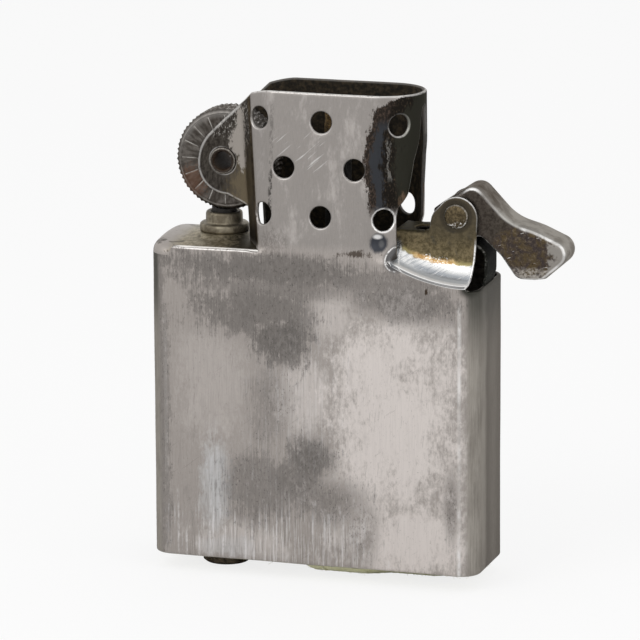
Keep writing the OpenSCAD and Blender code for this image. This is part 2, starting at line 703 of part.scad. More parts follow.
module wick() {
    n = 8;
    sections = [for (i = [0 : wick_rings]) let (t = along(wick_path, i))
        concat(ring(wick_path[i], t, [0, 1, 0], wick_d / 2, n),
            ring(wick_path[i], t, [0, 1, 0], wick_wire_d / 2 + 0.1, n))];
    points = [for (s = sections) each s];
    m = 2 * n;
    last = wick_rings * m;
    faces = concat(
        [for (s = [0 : wick_rings - 1]) for (i = [0 : n - 1]) let (j = (i + 1) % n, a = s * m, b = a + m)
            each [[a + i, b + j, a + j], [a + i, b + i, b + j],
                [a + n + j, b + n + i, a + n + i], [a + n + j, b + n + j, b + n + i]]],
        [for (i = [0 : n - 1]) let (j = (i + 1) % n)
            each [[j, n + i, i], [j, n + j, n + i],
                [last + i, last + n + j, last + j], [last + i, last + n + i, last + n + j]]]);
    color([0.62, 0.56, 0.42]) polyhedron(points, faces);
}

module wick_wire() {
    color([0.72, 0.45, 0.3])
        loft([for (i = [0 : wick_rings])
            ring(wick_path[i], along(wick_path, i), [0, 1, 0], wick_wire_d / 2, 6)]);
}

// Rounded block of cotton between two corners
module cotton(a, b) {
    size = b - a;
    color([0.86, 0.83, 0.76]) translate((a + b) / 2) intersection() {
        linear_extrude(size[2], center = true) plan(size[0], size[1], ball_r);
        rotate([90, 0, 0]) linear_extrude(size[1], center = true) plan(size[0], size[2], ball_r);
        rotate([90, 0, 90]) linear_extrude(size[0], center = true) plan(size[1], size[2], ball_r);
    }
}

// Packing ball in a row, counted from the top, on the wheel side or the cam side of the wick
module packing_ball(row, cam_side) {
    top = pack_top - row * row_h;
    sways = row % 2 == 0;
    gap = wick_d / 2 + 2 * soft_gap;
    right = wick_x - gap - (sways ? 0 : wick_swing);
    left = wick_x + gap + (sways ? wick_swing : 0);
    y = in_d / 2 - soft_gap;
    spring_side = cam_end - sheet - leaf_t - 2 * soft_gap;
    if (row < ball_rows) {
        if (cam_side)
            cotton([left, -y, top - row_h + soft_gap], [spring_side, y, row == 0 ? top - 3 : top]);
        else
            cotton([tube_x + tube_d / 2 + soft_gap, -y, top - row_h + soft_gap], [right, y, top]);
    }
}
module packing_ball_1() packing_ball(0, false);
module packing_ball_2() packing_ball(0, true);
module packing_ball_3() packing_ball(1, false);
module packing_ball_4() packing_ball(1, true);
module packing_ball_5() packing_ball(2, false);
module packing_ball_6() packing_ball(2, true);

// Felt that closes the bottom: its lower face is crowned and hangs below the rim
module felt_body() {
    inset = 2 * seat_gap;
    side_y = in_d / 2 - inset;
    bulge = felt_flat_in - felt_bulge_in;
    low = [[wheel_end, rim_z + seat_gap], [wheel_end + felt_bulge_in, rim_z + seat_gap],
        [wheel_end + felt_bulge_in + 0.65 * bulge, rim_z / 2], [wheel_end + felt_flat_in - 1, 0.2],
        [wheel_end + felt_flat_in, 0], [cam_end - felt_flat_out, 0],
        [cam_end - 0.65 * felt_flat_out, 0.27 * felt_end_up], [cam_end, felt_end_up]];
    section = outline([[-side_y, felt_top, 0], [-side_y, felt_crown, 0], [-felt_flat, 0, felt_round],
        [felt_flat, 0, felt_round], [side_y, felt_crown, 0], [side_y, felt_top, 0]]);
    intersection() {
        linear_extrude(felt_top) plan(in_w - 2 * inset, in_d - 2 * inset, in_r - inset);
        side_cut(concat(low, [[cam_end, felt_top], [wheel_end, felt_top]]), half_d);
        rotate([90, 0, 90]) linear_extrude(case_w, center = true) polygon(section);
    }
}

module felt_pad() {
    color([0.6, 0.6, 0.4]) difference() {
        felt_body();
        translate([fold_x, -case_d, -cut]) cube([case_w, 2 * case_d, felt_top + 2 * cut]);
        translate([tube_x, 0, -cut]) cylinder(d = tube_d + 2 * soft_gap, h = felt_top + 2 * cut);
    }
}

module felt_flap() {
    swing_r = in_w / 2 - fold_x - 2 * seat_gap;
    color([0.62, 0.62, 0.42]) intersection() {
        felt_body();
        translate([fold_x + seat_gap, -case_d, -cut]) cube([case_w, 2 * case_d, felt_top + 2 * cut]);
        // The free end is cut back so that it passes the end wall as it swings down
        translate([fold_x, 0, 0]) across(2 * swing_r, case_d);
    }
}

insert_case();
flint_wheel();
wheel_rivet();
cam();
cam_rivet();
cam_spring();
flint_tube();
flint();
flint_spring_tip();
flint_spring();
flint_screw();
wick();
wick_wire();
packing_ball_1();
packing_ball_2();
packing_ball_3();
packing_ball_4();
packing_ball_5();
packing_ball_6();
felt_pad();
felt_flap();
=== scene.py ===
"""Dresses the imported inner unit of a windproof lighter: the worn sheet case with its chimney and
saddle, the file wheel, the lid cam, their rivets, the flint feed, the wick, the cotton and the felt.
Lengths inside the functions are in millimetres, and each mesh is made in metres in the row frame."""
import math
import random

import bmesh
import bpy
import numpy as np
from bpy.props import FloatProperty, FloatVectorProperty, IntProperty, PointerProperty
from mathutils import Matrix, Vector, noise
from mathutils.geometry import delaunay_2d_cdt


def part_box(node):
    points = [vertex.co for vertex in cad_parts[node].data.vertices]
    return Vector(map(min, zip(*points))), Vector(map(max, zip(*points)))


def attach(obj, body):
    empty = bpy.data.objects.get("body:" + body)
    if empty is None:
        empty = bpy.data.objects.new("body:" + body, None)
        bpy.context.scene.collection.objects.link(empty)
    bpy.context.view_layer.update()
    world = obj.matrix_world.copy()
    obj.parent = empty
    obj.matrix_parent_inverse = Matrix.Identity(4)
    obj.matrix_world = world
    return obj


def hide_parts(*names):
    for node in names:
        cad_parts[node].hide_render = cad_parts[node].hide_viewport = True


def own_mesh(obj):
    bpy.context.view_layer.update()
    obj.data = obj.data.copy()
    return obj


bl_info = {
    "name": "Lighter insert",
    "version": (1, 0, 0),
    "blender": (4, 5, 0),
    "location": "View3D > Sidebar > Lighter insert",
    "description": "Makes the detailed pieces and finishes of a windproof lighter's inner unit",
    "category": "Object",
}

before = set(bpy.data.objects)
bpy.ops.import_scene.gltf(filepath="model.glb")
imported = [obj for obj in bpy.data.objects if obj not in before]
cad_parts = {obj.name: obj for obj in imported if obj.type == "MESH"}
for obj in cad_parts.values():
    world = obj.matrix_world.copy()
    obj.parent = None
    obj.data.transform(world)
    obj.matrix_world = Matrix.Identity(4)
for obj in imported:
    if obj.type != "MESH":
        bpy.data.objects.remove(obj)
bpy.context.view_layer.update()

MM = 0.001
QUARTER = math.pi / 2
TURN = 2 * math.pi

# Case: half width, half depth and corner radius, what is flat of the two halves, and the levels of its
# lower rim, of the end wall's cut beside the cam, of the shoulder and of the chimney's rim
HALF_W, HALF_D, CORNER = 17.8, 5.7, 2.2
FLAT_W, FLAT_D = HALF_W - CORNER, HALF_D - CORNER
RIM_Z, END_Z, SHOULDER_Z, TOP_Z = 1.7, 32.0, 35.0, 51.65
# Shoulder plate: bend round the end, crown, edge inside the walls, right end, height of the boss round the
# tube, and radii of the holes for the wick and the tube
END_BEND, DOME, PLATE_Y, PLATE_X, BOSS_Z = 1.0, 0.6, HALF_D - 0.46, 7.5, 0.8
WICK_HOLE, TUBE_HOLE = 1.75, 1.97
# Chimney: lean of its walls, end of its round end, crease at its left, turn of the strip beyond the crease,
# and how far its rim drops there
LEAN, ROUND_END, CREASE, STRIP_TURN, RIM_DROP = 1.5, 10.7, -4.6, math.radians(22), 1.0
# Levels between which shoulder and chimney pass into each other, at the left and at the right, and the
# spacing of the five places that are averaged there
BAND_LOW, BAND_HIGH, BLUR = (34.6, 34.2), (35.6, 36.0), 0.14
# Ends of the slits that part the chimney from the shoulder, the slits' half width, the level of the left
# one and the level that parts what is above and below the right one
SLIT_LEFT, SLIT_RIGHT, SLIT_HALF = -5.9, 8.3, 0.04
LEFT_Z, RIGHT_Z = SHOULDER_Z + 0.03, 34.6
AIR_HOLES = ((-5.45, 38.9), (0.95, 38.9), (7.65, 38.85), (-3.13, 43.85), (4.45, 43.95), (-6.1, 48.75),
             (0.8, 48.65), (9, 48.6))
# Top of the vent, radius of its upper corners, and height and half width of the vent in each half
VENT_TOP, VENT_ROUND = 50.25, 0.6
VENT_FRONT = ((36.4, 4.1), (39.2, 4.03), (40.05, 3.85), (40.6, 3.4), (41.3, 2.9), (44.8, 2.1), (47.05, 1.2),
              (VENT_TOP, 0.7))
VENT_BACK = ((36.4, 3.9), (38.0, 3.05), (39.4, 2.92), (41.3, 2.8), (44.8, 2.1), (47.05, 0.95),
             (VENT_TOP, 0.35))
DIMPLE_X, DIMPLE_Z, DIMPLE_R, DIMPLE_DEPTH = 7.15, 36.5, 1.05, 0.3
# Saddle: its left end, the arc of its lip, the bend there, its crown, and the round top of the cam's ear
SADDLE_X, EAR_END_X = 8.2, 16.6
ARC_R, ARC_Z, LIP_BEND = 17.0, 49.65, 0.35
CROWN_Z, CROWN_BEND = 37.45, 0.45
LOBE_X, LOBE_Z, LOBE_R = 14.84, 39.14, 2.15
# Distance of the wheel's and the cam's ears from Y = 0
WHEEL_EAR_Y, CAM_EAR_Y = 2.4, 2.7
# Material slot of a sheet's inner face, after those of its parts
INSIDE = 3

# Axes of the wheel, the cam, the flint tube and the wick
WHEEL_X, WHEEL_Z = -10.5, 43.67
PIVOT_X, PIVOT_Z = 14.76, 39.27
TUBE_X, WICK_X = -11.2, 1.3
# Turn from one line on the wheel's faces to the next
LINE_TURN = TURN / 16
COIL_R, COIL_WIRE, COIL_TURNS, COIL_STEPS = 1.025, 0.175, 22, 14
# Radii to which the felt bulges across its lower face, at its middle and at its end beside the cam
FELT_R = (8.5, 4.3)


def smooth(low, high, x):
    """0 below low and 1 above high, or the reverse where low is the greater, with soft ends."""
    t = min(max((x - low) / (high - low), 0), 1)
    return t * t * (3 - 2 * t)


def lerp(a, b, t):
    """What lies at the share t of the way from a to b."""
    return a + (b - a) * t


# Sheet metal


def run(start, end, step):
    """Points from start up to, and without, end."""
    count = max(1, round(math.dist(start, end) / step))
    return [tuple(lerp(a, b, k / count) for a, b in zip(start, end)) for k in range(count)]


def arc(centre, radius, a0, a1, step):
    """Points on an arc from angle a0 up to, and without, a1."""
    count = max(3, round(abs(a1 - a0) * radius / step))
    angles = [lerp(a0, a1, k / count) for k in range(count)]
    return [(centre[0] + radius * math.cos(a), centre[1] + radius * math.sin(a)) for a in angles]


def inside(points, loop):
    """Which points lie in the closed loop."""
    found = np.zeros(len(points), bool)
    x, y = points[:, 0], points[:, 1]
    for (ax, ay), (bx, by) in zip(loop, np.roll(loop, -1, 0)):
        if ay != by:
            crossed = (ay > y) != (by > y)
            found ^= crossed & (x < (bx - ax) * (y - ay) / (by - ay) + ax)
    return found


def distance(points, starts, ends):
    """Distance from each point to the nearest of some segments."""
    best = np.full(len(points), 1e9)
    for a, b in zip(starts, ends):
        way = b - a
        t = np.clip((points - a) @ way / max(way @ way, 1e-12), 0, 1)
        best = np.minimum(best, np.linalg.norm(points - a - t[:, None] * way, axis=1))
    return best


def inset(loop, amounts):
    """The loop with each side moved inward by its amount."""
    moved = []
    for i, corner in enumerate(loop):
        before = corner - loop[i - 1]
        after = loop[(i + 1) % len(loop)] - corner
        before = before / np.linalg.norm(before)
        after = after / np.linalg.norm(after)
        n0, n1 = np.array([-before[1], before[0]]), np.array([-after[1], after[0]])
        d0, d1 = amounts[i - 1], amounts[i]
        turn = n0[0] * n1[1] - n0[1] * n1[0]
        if abs(turn) < 0.05:
            moved.append(corner + (n0 + n1) / 2 * (d0 + d1) / 2)
        else:
            way = np.array([d0 * n1[1] - d1 * n0[1], d1 * n0[0] - d0 * n1[0]]) / turn
            size = np.linalg.norm(way)
            moved.append(corner + way * min(1, 2.5 * max(d0, d1) / max(size, 1e-9)))
    return np.array(moved)


class Sheet:
    """Sheet metal with rolled edges, made from flat patterns and a way to bend each."""

    def __init__(self, thick):
        self.half = thick / 2
        self.points, self.gaps, self.joints = [], [], []
        self.faces, self.parts = [], []

    def add(self, pattern, place, spacing, part=0, sides=(1, -1)):
        """A pattern has runs of its outline as (points, joined), its holes and extra points inside it.
        A joined run has no edge of its own, because another pattern goes on there. Side 1 is the
        half in front of Y = 0, and side -1 the same behind it."""
        chunks, holes, extra = pattern
        loop = np.array([p for run_points, _ in chunks for p in run_points], float)
        joined = [mark for run_points, mark in chunks for _ in run_points]
        loops = [(loop, joined)] + [(np.array(h, float), [False] * len(h)) for h in holes]
        free_a, free_b, closed_a, closed_b = [], [], [], []
        for points, marks in loops:
            for i, mark in enumerate(marks):
                a, b = points[i], points[(i + 1) % len(points)]
                (closed_a if mark else free_a).append(a)
                (closed_b if mark else free_b).append(b)
        seeds, edges = [], []
        for k in range(5):
            depth = self.half * (1 - math.cos(k * QUARTER / 4))
            for points, marks in loops:
                ring = inset(points, [0 if m else depth for m in marks])
                first = len(seeds)
                seeds += [tuple(p) for p in ring]
                edges += [(first + i, first + (i + 1) % len(ring)) for i in range(len(ring))]
        grid = self.grid(loops, spacing, extra)
        clear = distance(grid, free_a, free_b) > self.half * 1.35
        if closed_a:
            clear &= distance(grid, closed_a, closed_b) > 0.12
        seeds += [tuple(p) for p in grid[clear]]
        verts, _, tris, _, _, _ = delaunay_2d_cdt([Vector(p) for p in seeds], edges, [], 0, 1e-5)
        flat = np.array([tuple(v) for v in verts])
        middle = np.array([flat[list(t)].mean(0) for t in tris])
        tris = [t for t, good in zip(tris, self.within(middle, loops)) if good]
        gaps = distance(flat, free_a, free_b)
        heights = np.sqrt(np.maximum(self.half**2 - (self.half - np.minimum(gaps, self.half)) ** 2, 0))
        on_joint = distance(flat, closed_a, closed_b) < 1e-4 if closed_a else np.zeros(len(flat), bool)
        placed = {i: place(*flat[i]) for i in sorted({i for t in tris for i in t})}
        for side in sides:
            upper, lower = {}, {}
            for i, (outer, normal) in placed.items():
                mid = outer - normal * self.half
                upper[i] = lower[i] = self.point(mid + normal * heights[i], side, gaps[i])
                if heights[i] > 1e-4:
                    lower[i] = self.point(mid - normal * heights[i], side, gaps[i])
                if on_joint[i]:
                    self.joints += [upper[i], lower[i]]
            for t in tris:
                a, b, c = t[::side]
                self.faces.append((upper[a], upper[b], upper[c]))
                self.parts.append(part)
                if any(lower[i] != upper[i] for i in t):
                    self.faces.append((lower[c], lower[b], lower[a]))
                    self.parts.append(INSIDE)

    def point(self, place, side, gap):
        self.points.append(Vector((place.x, place.y * side, place.z)))
        self.gaps.append(gap)
        return len(self.points) - 1

    def within(self, points, loops):
        keep = inside(points, loops[0][0])
        for hole, _ in loops[1:]:
            keep &= ~inside(points, hole)
        return keep

    def grid(self, loops, spacing, extra):
        low, high = loops[0][0].min(0), loops[0][0].max(0)
        rows = [
            (x + spacing / 2 * (j % 2), y)
            for j, y in enumerate(np.arange(low[1], high[1], spacing * 0.866))
            for x in np.arange(low[0], high[0], spacing)
        ]
        found = np.array(rows + list(extra), float)
        return found[self.within(found, loops)]

    def welded(self, weld=0.03):
        """The mesh, with what is joined welded, and the distance to the nearest edge on each point."""
        mesh = bmesh.new()
        layer = mesh.verts.layers.float.new("edge")
        verts = [mesh.verts.new(p) for p in self.points]
        for vert, gap in zip(verts, self.gaps):
            vert[layer] = gap
        for f, part in zip(self.faces, self.parts):
            if len(set(f)) == 3:
                mesh.faces.new([verts[i] for i in f]).material_index = part
        joined = [verts[j] for j in sorted(set(self.joints))]
        bmesh.ops.remove_doubles(mesh, verts=joined, dist=weld)
        return mesh


def bent(place, step=0.02):
    """Turns a function that bends the pattern into one that also gives the outward normal."""

    def with_normal(u, v):
        across = place(u + step, v) - place(u - step, v)
        along = place(u, v + step) - place(u, v - step)
        return place(u, v), across.cross(along).normalized()

    return with_normal


def dented(mesh, amount, wave, seed):
    """Shifts the whole metal a little, both faces alike."""
    noise.seed_set(seed)
    for v in mesh.verts:
        v.co += noise.noise_vector(v.co / wave + Vector((seed, 0, 0))) * amount


def dimple(mesh):
    """Presses the round hollow under the last air hole into the front."""
    for v in mesh.verts:
        far = math.hypot(v.co.x - DIMPLE_X, v.co.z - DIMPLE_Z) / DIMPLE_R
        if far < 1 and v.co.y < -WHEEL_EAR_Y:
            v.co.y += DIMPLE_DEPTH * (1 - far * far) ** 1.5


def added(name, data):
    """Makes an object and puts it into the scene."""
    made = bpy.data.objects.new(name, data)
    bpy.context.scene.collection.objects.link(made)
    return made


def piece(name, mesh, finishes, body, replaced=(), sharp=None):
    """Makes an object in metres from a mesh in millimetres, gives it its body and its finishes, and hides the
    parts that it replaces.
    """
    bmesh.ops.recalc_face_normals(mesh, faces=mesh.faces)
    bmesh.ops.scale(mesh, vec=(MM, MM, MM), verts=mesh.verts)
    for face in mesh.faces:
        face.smooth = True
    data = bpy.data.meshes.new(name)
    mesh.to_mesh(data)
    mesh.free()
    if sharp:
        data.set_sharp_from_angle(angle=math.radians(sharp))
    for finish in finishes if isinstance(finishes, list) else [finishes]:
        data.materials.append(finish)
    made = added(name, data)
    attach(made, body)
    if replaced:
        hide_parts(*replaced)
    return made


# The case's bends


def raised(z):
    """Share of the way from the shoulder up to the chimney's rim."""
    return max(0, (z - SHOULDER_Z) / (TOP_Z - SHOULDER_Z))


def wall_y(z):
    """Distance of the walls from Y = 0, which is also the radius of the chimney's round end."""
    return HALF_D - LEAN * raised(z)


def strip_x(z):
    """Where the strip beyond the crease ends."""
    return lerp(-5.75, -7.2, raised(z))


def root_x(z):
    """Where the wheel's ear begins."""
    return lerp(-7.6, -8.6, raised(z))


def low_plan(s):
    """The case's plan, followed from the middle of the front wall."""
    side, far = math.copysign(1, s), abs(s)
    if far <= FLAT_W:
        return s, -HALF_D
    turn = (far - FLAT_W) / CORNER
    if turn <= QUARTER:
        return side * (FLAT_W + CORNER * math.sin(turn)), -FLAT_D - CORNER * math.cos(turn)
    return side * HALF_W, far - FLAT_D - FLAT_W - CORNER * QUARTER


def s_low(x):
    """Way along the case's plan at x."""
    far = min(abs(x) - FLAT_W, CORNER)
    return x if far <= 0 else math.copysign(FLAT_W + CORNER * math.asin(far / CORNER), x)


def jog(z):
    """Start and end of the bend between the strip and the wheel ear, and the way up to each."""
    w = wall_y(z)
    reach = (CREASE - strip_x(z)) / math.cos(STRIP_TURN)
    start = (strip_x(z), -w + reach * math.sin(STRIP_TURN))
    goal = (root_x(z), -WHEEL_EAR_Y)
    return start, goal, reach, reach + math.dist(start, goal)


def high_plan(s, z):
    """The chimney's plan on level z, with the wheel ear beyond its root."""
    w = wall_y(z)
    flat_end = ROUND_END - w
    if s >= flat_end:
        a = (s - flat_end) / w
        return flat_end + w * math.sin(a), -w * math.cos(a)
    if s >= CREASE:
        return s, -w
    start, goal, reach, root = jog(z)
    far = CREASE - s
    if far <= reach:
        return CREASE - far * math.cos(STRIP_TURN), -w + far * math.sin(STRIP_TURN)
    if far <= root:
        t = (far - reach) / (root - reach)
        return lerp(start[0], goal[0], t), lerp(start[1], goal[1], t)
    return goal[0] - (far - root), goal[1]


def s_high(x, z):
    """Way along the chimney's plan at x on level z."""
    w = wall_y(z)
    flat_end = ROUND_END - w
    if x > flat_end:
        return flat_end + w * math.asin(min(1, (x - flat_end) / w))
    if x >= CREASE:
        return x
    _, goal, _, root = jog(z)
    if x < goal[0]:
        return CREASE - root - (goal[0] - x)
    return CREASE - (CREASE - x) / math.cos(STRIP_TURN)


def s_end(z):
    """Way along the chimney's plan to the middle of its round end."""
    return ROUND_END + (QUARTER - 1) * wall_y(z)


def lip_z(x):
    """Height of the saddle's outer edge."""
    return ARC_Z - math.sqrt(ARC_R**2 - (EAR_END_X - max(x, SADDLE_X)) ** 2)


def body_wall(s, z, upper):
    """The case's wall passing into the chimney's, except beyond the slits' ends."""
    across = smooth(-4, 5, s)
    rise = smooth(lerp(*BAND_LOW, across), lerp(*BAND_HIGH, across), z)
    fade = 1 - (smooth(-SLIT_LEFT, 7, -s) if s < 0 else smooth(SLIT_RIGHT, 9.3, s))
    share = 1 - (1 - rise) * fade if upper else rise * fade
    x = y = 0
    for k in range(-2, 3):
        low, high = low_plan(s + BLUR * k), high_plan(s + BLUR * k, z)
        x += lerp(low[0], high[0], share) / 5
        y += lerp(low[1], high[1], share) / 5
    return Vector((x, y, z))


def body_place(s, z):
    """Place and outward normal of the wall. The slits part what is above them from what is below."""
    upper = z > (LEFT_Z if s < 0 else RIGHT_Z)
    return bent(lambda a, b: body_wall(a, b, upper))(s, z)


def rim_z(s):
    """Height of the chimney's rim."""
    return TOP_Z - RIM_DROP * max(0, (CREASE - s) / 4.39) ** 1.7


def vent_half(z, back):
    """Half the width of the chimney's vent on level z, measured round the chimney."""
    half = float(np.interp(z, *zip(*(VENT_BACK if back else VENT_FRONT))))
    above = z - (VENT_TOP - VENT_ROUND)
    if above > 0:
        half -= VENT_ROUND - math.sqrt(max(0, VENT_ROUND**2 - above**2))
    return half


def end_bend(x):
    """Radius between the shoulder plate and the walls: round at the end, and a mere seam along the sides."""
    return lerp(0.05, END_BEND, smooth(-15.0, -15.7, x))


def end_joint():
    """Where the walls and the shoulder plate are one sheet: way along the wall and its height, then the
    same place in the plate's pattern."""
    found = []
    for x in np.linspace(-15.0, -FLAT_W, 7)[:-1]:
        r = end_bend(x)
        found.append((x, SHOULDER_Z - r, x, -(HALF_D - r + r * QUARTER)))
    out, z = CORNER - END_BEND + END_BEND * QUARTER, SHOULDER_Z - END_BEND
    for a in np.linspace(0, QUARTER, 10)[:-1]:
        found.append((-FLAT_W - CORNER * a, z, -FLAT_W - out * math.sin(a), -FLAT_D - out * math.cos(a)))
    for y in np.linspace(FLAT_D, 0, 9):
        found.append((-FLAT_W - CORNER * QUARTER - FLAT_D + y, z, -FLAT_W - out, -y))
    return found


def body_pattern(step, back):
    """Outline, holes and extra points of one half of the case and chimney."""
    seam = FLAT_W + CORNER * QUARTER + HALF_D - CORNER
    slit, left_z, right_z = SLIT_HALF, LEFT_Z, lip_z(SADDLE_X) - LIP_BEND + SLIT_HALF
    cut_s = s_low(EAR_END_X)
    lip = [(s_low(x), lip_z(x) - LIP_BEND) for x in np.arange(EAR_END_X, SLIT_RIGHT + 0.08, -step)]
    vent = []
    for k in range(61):
        z = lerp(right_z + slit, VENT_TOP, k / 60)
        w = wall_y(z)
        vent.append((s_end(z) - w * math.asin(min(1, vent_half(z, back) / w)), z))
    reach = jog(TOP_Z)[2]
    rim = [(s, rim_z(s)) for s in np.arange(s_end(TOP_Z), CREASE - reach, -step)]
    rim += run((CREASE - reach, 51.18), (CREASE - jog(49.87)[3], 49.87), step)
    ear = run((root_x(49.87), 49.87), (-11.79, 46.8), step)[1:]
    ear += arc((-8.72, 43.3), 4.62, math.radians(131.3), math.pi, step)
    ear += arc((-10.05, 43.3), 3.27, math.pi, 3 * QUARTER, step)
    ear += run((-10.05, 40.03), (root_x(39) - 0.25, 39.1), step)
    ear = [(s_high(x, z), z) for x, z in ear]
    root = []
    for z in np.arange(39.0, left_z + slit + 0.1, -step):
        root.append((CREASE - jog(z)[3], z))
    root.append((CREASE - jog(35)[3], left_z + slit))
    joint = [(s, z) for s, z, _, _ in end_joint()]
    under_ear = (-7, left_z - slit)
    chunks = [
        (run((-seam, RIM_Z), (seam, RIM_Z), step), False),
        (run((seam, RIM_Z), (seam, END_Z), step), True),
        (run((seam, END_Z), (cut_s + 0.25, END_Z), step), False),
        (run((cut_s + 0.25, END_Z), lip[0], 0.15), False),
        (lip, True),
        (arc((SLIT_RIGHT, right_z), slit, -QUARTER, -3 * QUARTER, 0.05), False),
        (run((SLIT_RIGHT, right_z + slit), vent[0], 0.2) + vent[:-1], False),
        ([vent[-1]] if vent[-1][0] < s_end(VENT_TOP) - 0.05 else [], False),
        ([(s_end(VENT_TOP + d), VENT_TOP + d) for d in np.arange(0, TOP_Z - VENT_TOP, 0.35)], True),
        (rim + ear + root, False),
        (run(root[-1], (SLIT_LEFT, left_z + slit), step)[1:], False),
        (arc((SLIT_LEFT, left_z), slit, QUARTER, -QUARTER, 0.05), False),
        (run((SLIT_LEFT, left_z - slit), under_ear, 0.2) + run(under_ear, joint[0], step), False),
        (joint[:-1], True),
        (run(joint[-1], (-seam, RIM_Z), step), True),
    ]
    chunks = [(points, joined) for points, joined in chunks if points]
    radius = bpy.context.scene.insert_case.hole / MM / 2
    holes = [arc((s_high(x, z), z), radius, 0, -TURN, 0.22) for x, z in AIR_HOLES]
    pin = arc((s_high(WHEEL_X, WHEEL_Z), WHEEL_Z), 1.22, 0, -TURN, 0.22)
    extra = []
    for z in np.arange(35.6, 51, 0.45):
        _, _, reach, root_s = jog(z)
        for bend in (CREASE, CREASE - reach, CREASE - root_s):
            extra += [(bend + 0.14 * k, z) for k in range(-3, 4)]
    extra += [(s, z) for z in np.arange(34.2, 36.1, 0.22) for s in np.arange(-5.6, 8.2, 0.4)]
    if not back:
        rings = [arc((DIMPLE_X, DIMPLE_Z), r, 0, TURN, 0.2) for r in (0.2, 0.4, 0.6, 0.8, 1.0)]
        extra += [(s_high(x, z), z) for ring in rings for x, z in ring]
    return chunks, holes + [pin], extra


def deck_bend(u, v):
    """The shoulder plate: domed, with a boss round the flint tube, and bent down into the end wall."""
    radius = end_bend(u)
    core = Vector((max(u, -FLAT_W), math.copysign(min(abs(v), FLAT_D), v)))
    away = Vector((u, v)) - core
    turn = max(0, away.length - CORNER + radius) / radius
    if turn > 0:
        away *= (CORNER - radius + radius * math.sin(turn)) / away.length
    dome = DOME * max(0, 1 - (v / PLATE_Y) ** 2) * math.cos(min(turn, QUARTER))
    near = smooth(3.6, 2.45, math.hypot(u - TUBE_X, v))
    z = SHOULDER_Z - radius * (1 - math.cos(turn)) + lerp(dome, BOSS_Z, near)
    return Vector((core.x + away.x, core.y + away.y, z))


def deck_pattern(step):
    """The shoulder plate, whose front edge lies against the inside of the front wall."""
    joint = [(u, v) for _, _, u, v in reversed(end_joint())]
    left, right = (-14.7, -PLATE_Y), (PLATE_X, -PLATE_Y)
    chunks = [
        (run(joint[-1], left, 0.2)[1:] + run(left, right, step), False),
        (run(right, (PLATE_X, 0), step), False),
        (run((PLATE_X, 0), (WICK_X + WICK_HOLE, 0), step), True),
        (arc((WICK_X, 0), WICK_HOLE, 0, -math.pi, 0.25), False),
        (run((WICK_X - WICK_HOLE, 0), (TUBE_X + TUBE_HOLE, 0), step), True),
        (arc((TUBE_X, 0), TUBE_HOLE, 0, -math.pi, 0.25), False),
        (run((TUBE_X - TUBE_HOLE, 0), joint[0], step) + joint, True),
    ]
    extra = [
        (TUBE_X + r * math.cos(a), -r * math.sin(a))
        for r in (2.35, 2.55, 2.75, 2.95, 3.15, 3.35, 3.6)
        for a in np.arange(0.08, 3.1, 0.11)
    ]
    for out in (CORNER - END_BEND + END_BEND * QUARTER * k / 6 for k in range(6)):
        turns = np.linspace(0.05, QUARTER, 9)
        extra += [(-FLAT_W - out * math.sin(a), -FLAT_D - out * math.cos(a)) for a in turns]
        extra += [(-FLAT_W - out, -y) for y in np.arange(0.3, FLAT_D, 0.4)]
    return chunks, [], extra


def ear_low_z(x):
    """Height at which the saddle's cove ends and the plane of the cam's ear begins."""
    return lerp(36.9, 36.15, (x - SADDLE_X) / 8.7)


def saddle_parts(s):
    """Where the parts of the saddle's section at s begin, with the cove's two sizes."""
    x, y = low_plan(s)
    z = lip_z(x)
    deep, tall = -CAM_EAR_Y - y - LIP_BEND, ear_low_z(x) - z
    bend = LIP_BEND * QUARTER
    return x, y, z, deep, tall, bend, bend + QUARTER * math.sqrt((deep**2 + tall**2) / 2)


def crown_length(height):
    """Way up the section from the foot of the ear's plane to the middle of the crown."""
    return height + CAM_EAR_Y + CROWN_BEND * (QUARTER - 2)


def crown(height, up):
    """How far in from the ear's plane, and how high, a point is that lies so far up the crown's section."""
    rise = height - CROWN_BEND
    if up <= rise:
        return 0, up
    a = (up - rise) / CROWN_BEND
    if a <= QUARTER:
        return CROWN_BEND * (1 - math.cos(a)), rise + CROWN_BEND * math.sin(a)
    return CROWN_BEND * (1 - QUARTER) + up - rise, height


def saddle_bend(s, q):
    """The saddle's section at s: the bend at its lip, its cove, then the ear, or the crown left of it."""
    x, y, z, deep, tall, bend, cove = saddle_parts(s)
    if q <= bend:
        a = q / LIP_BEND
        return Vector((x, y + LIP_BEND * (1 - math.cos(a)), z - LIP_BEND + LIP_BEND * math.sin(a)))
    if q <= cove:
        a = (q - bend) / (cove - bend) * QUARTER
        return Vector((x, y + LIP_BEND + deep * math.sin(a), z + tall * (1 - math.cos(a))))
    foot = z + tall
    across, up = crown(CROWN_Z - foot, q - cove)
    plane = Vector((x, -CAM_EAR_Y, foot + q - cove))
    return plane.lerp(Vector((x, across - CAM_EAR_Y, foot + up)), 1 - smooth(11.2, 11.9, s))


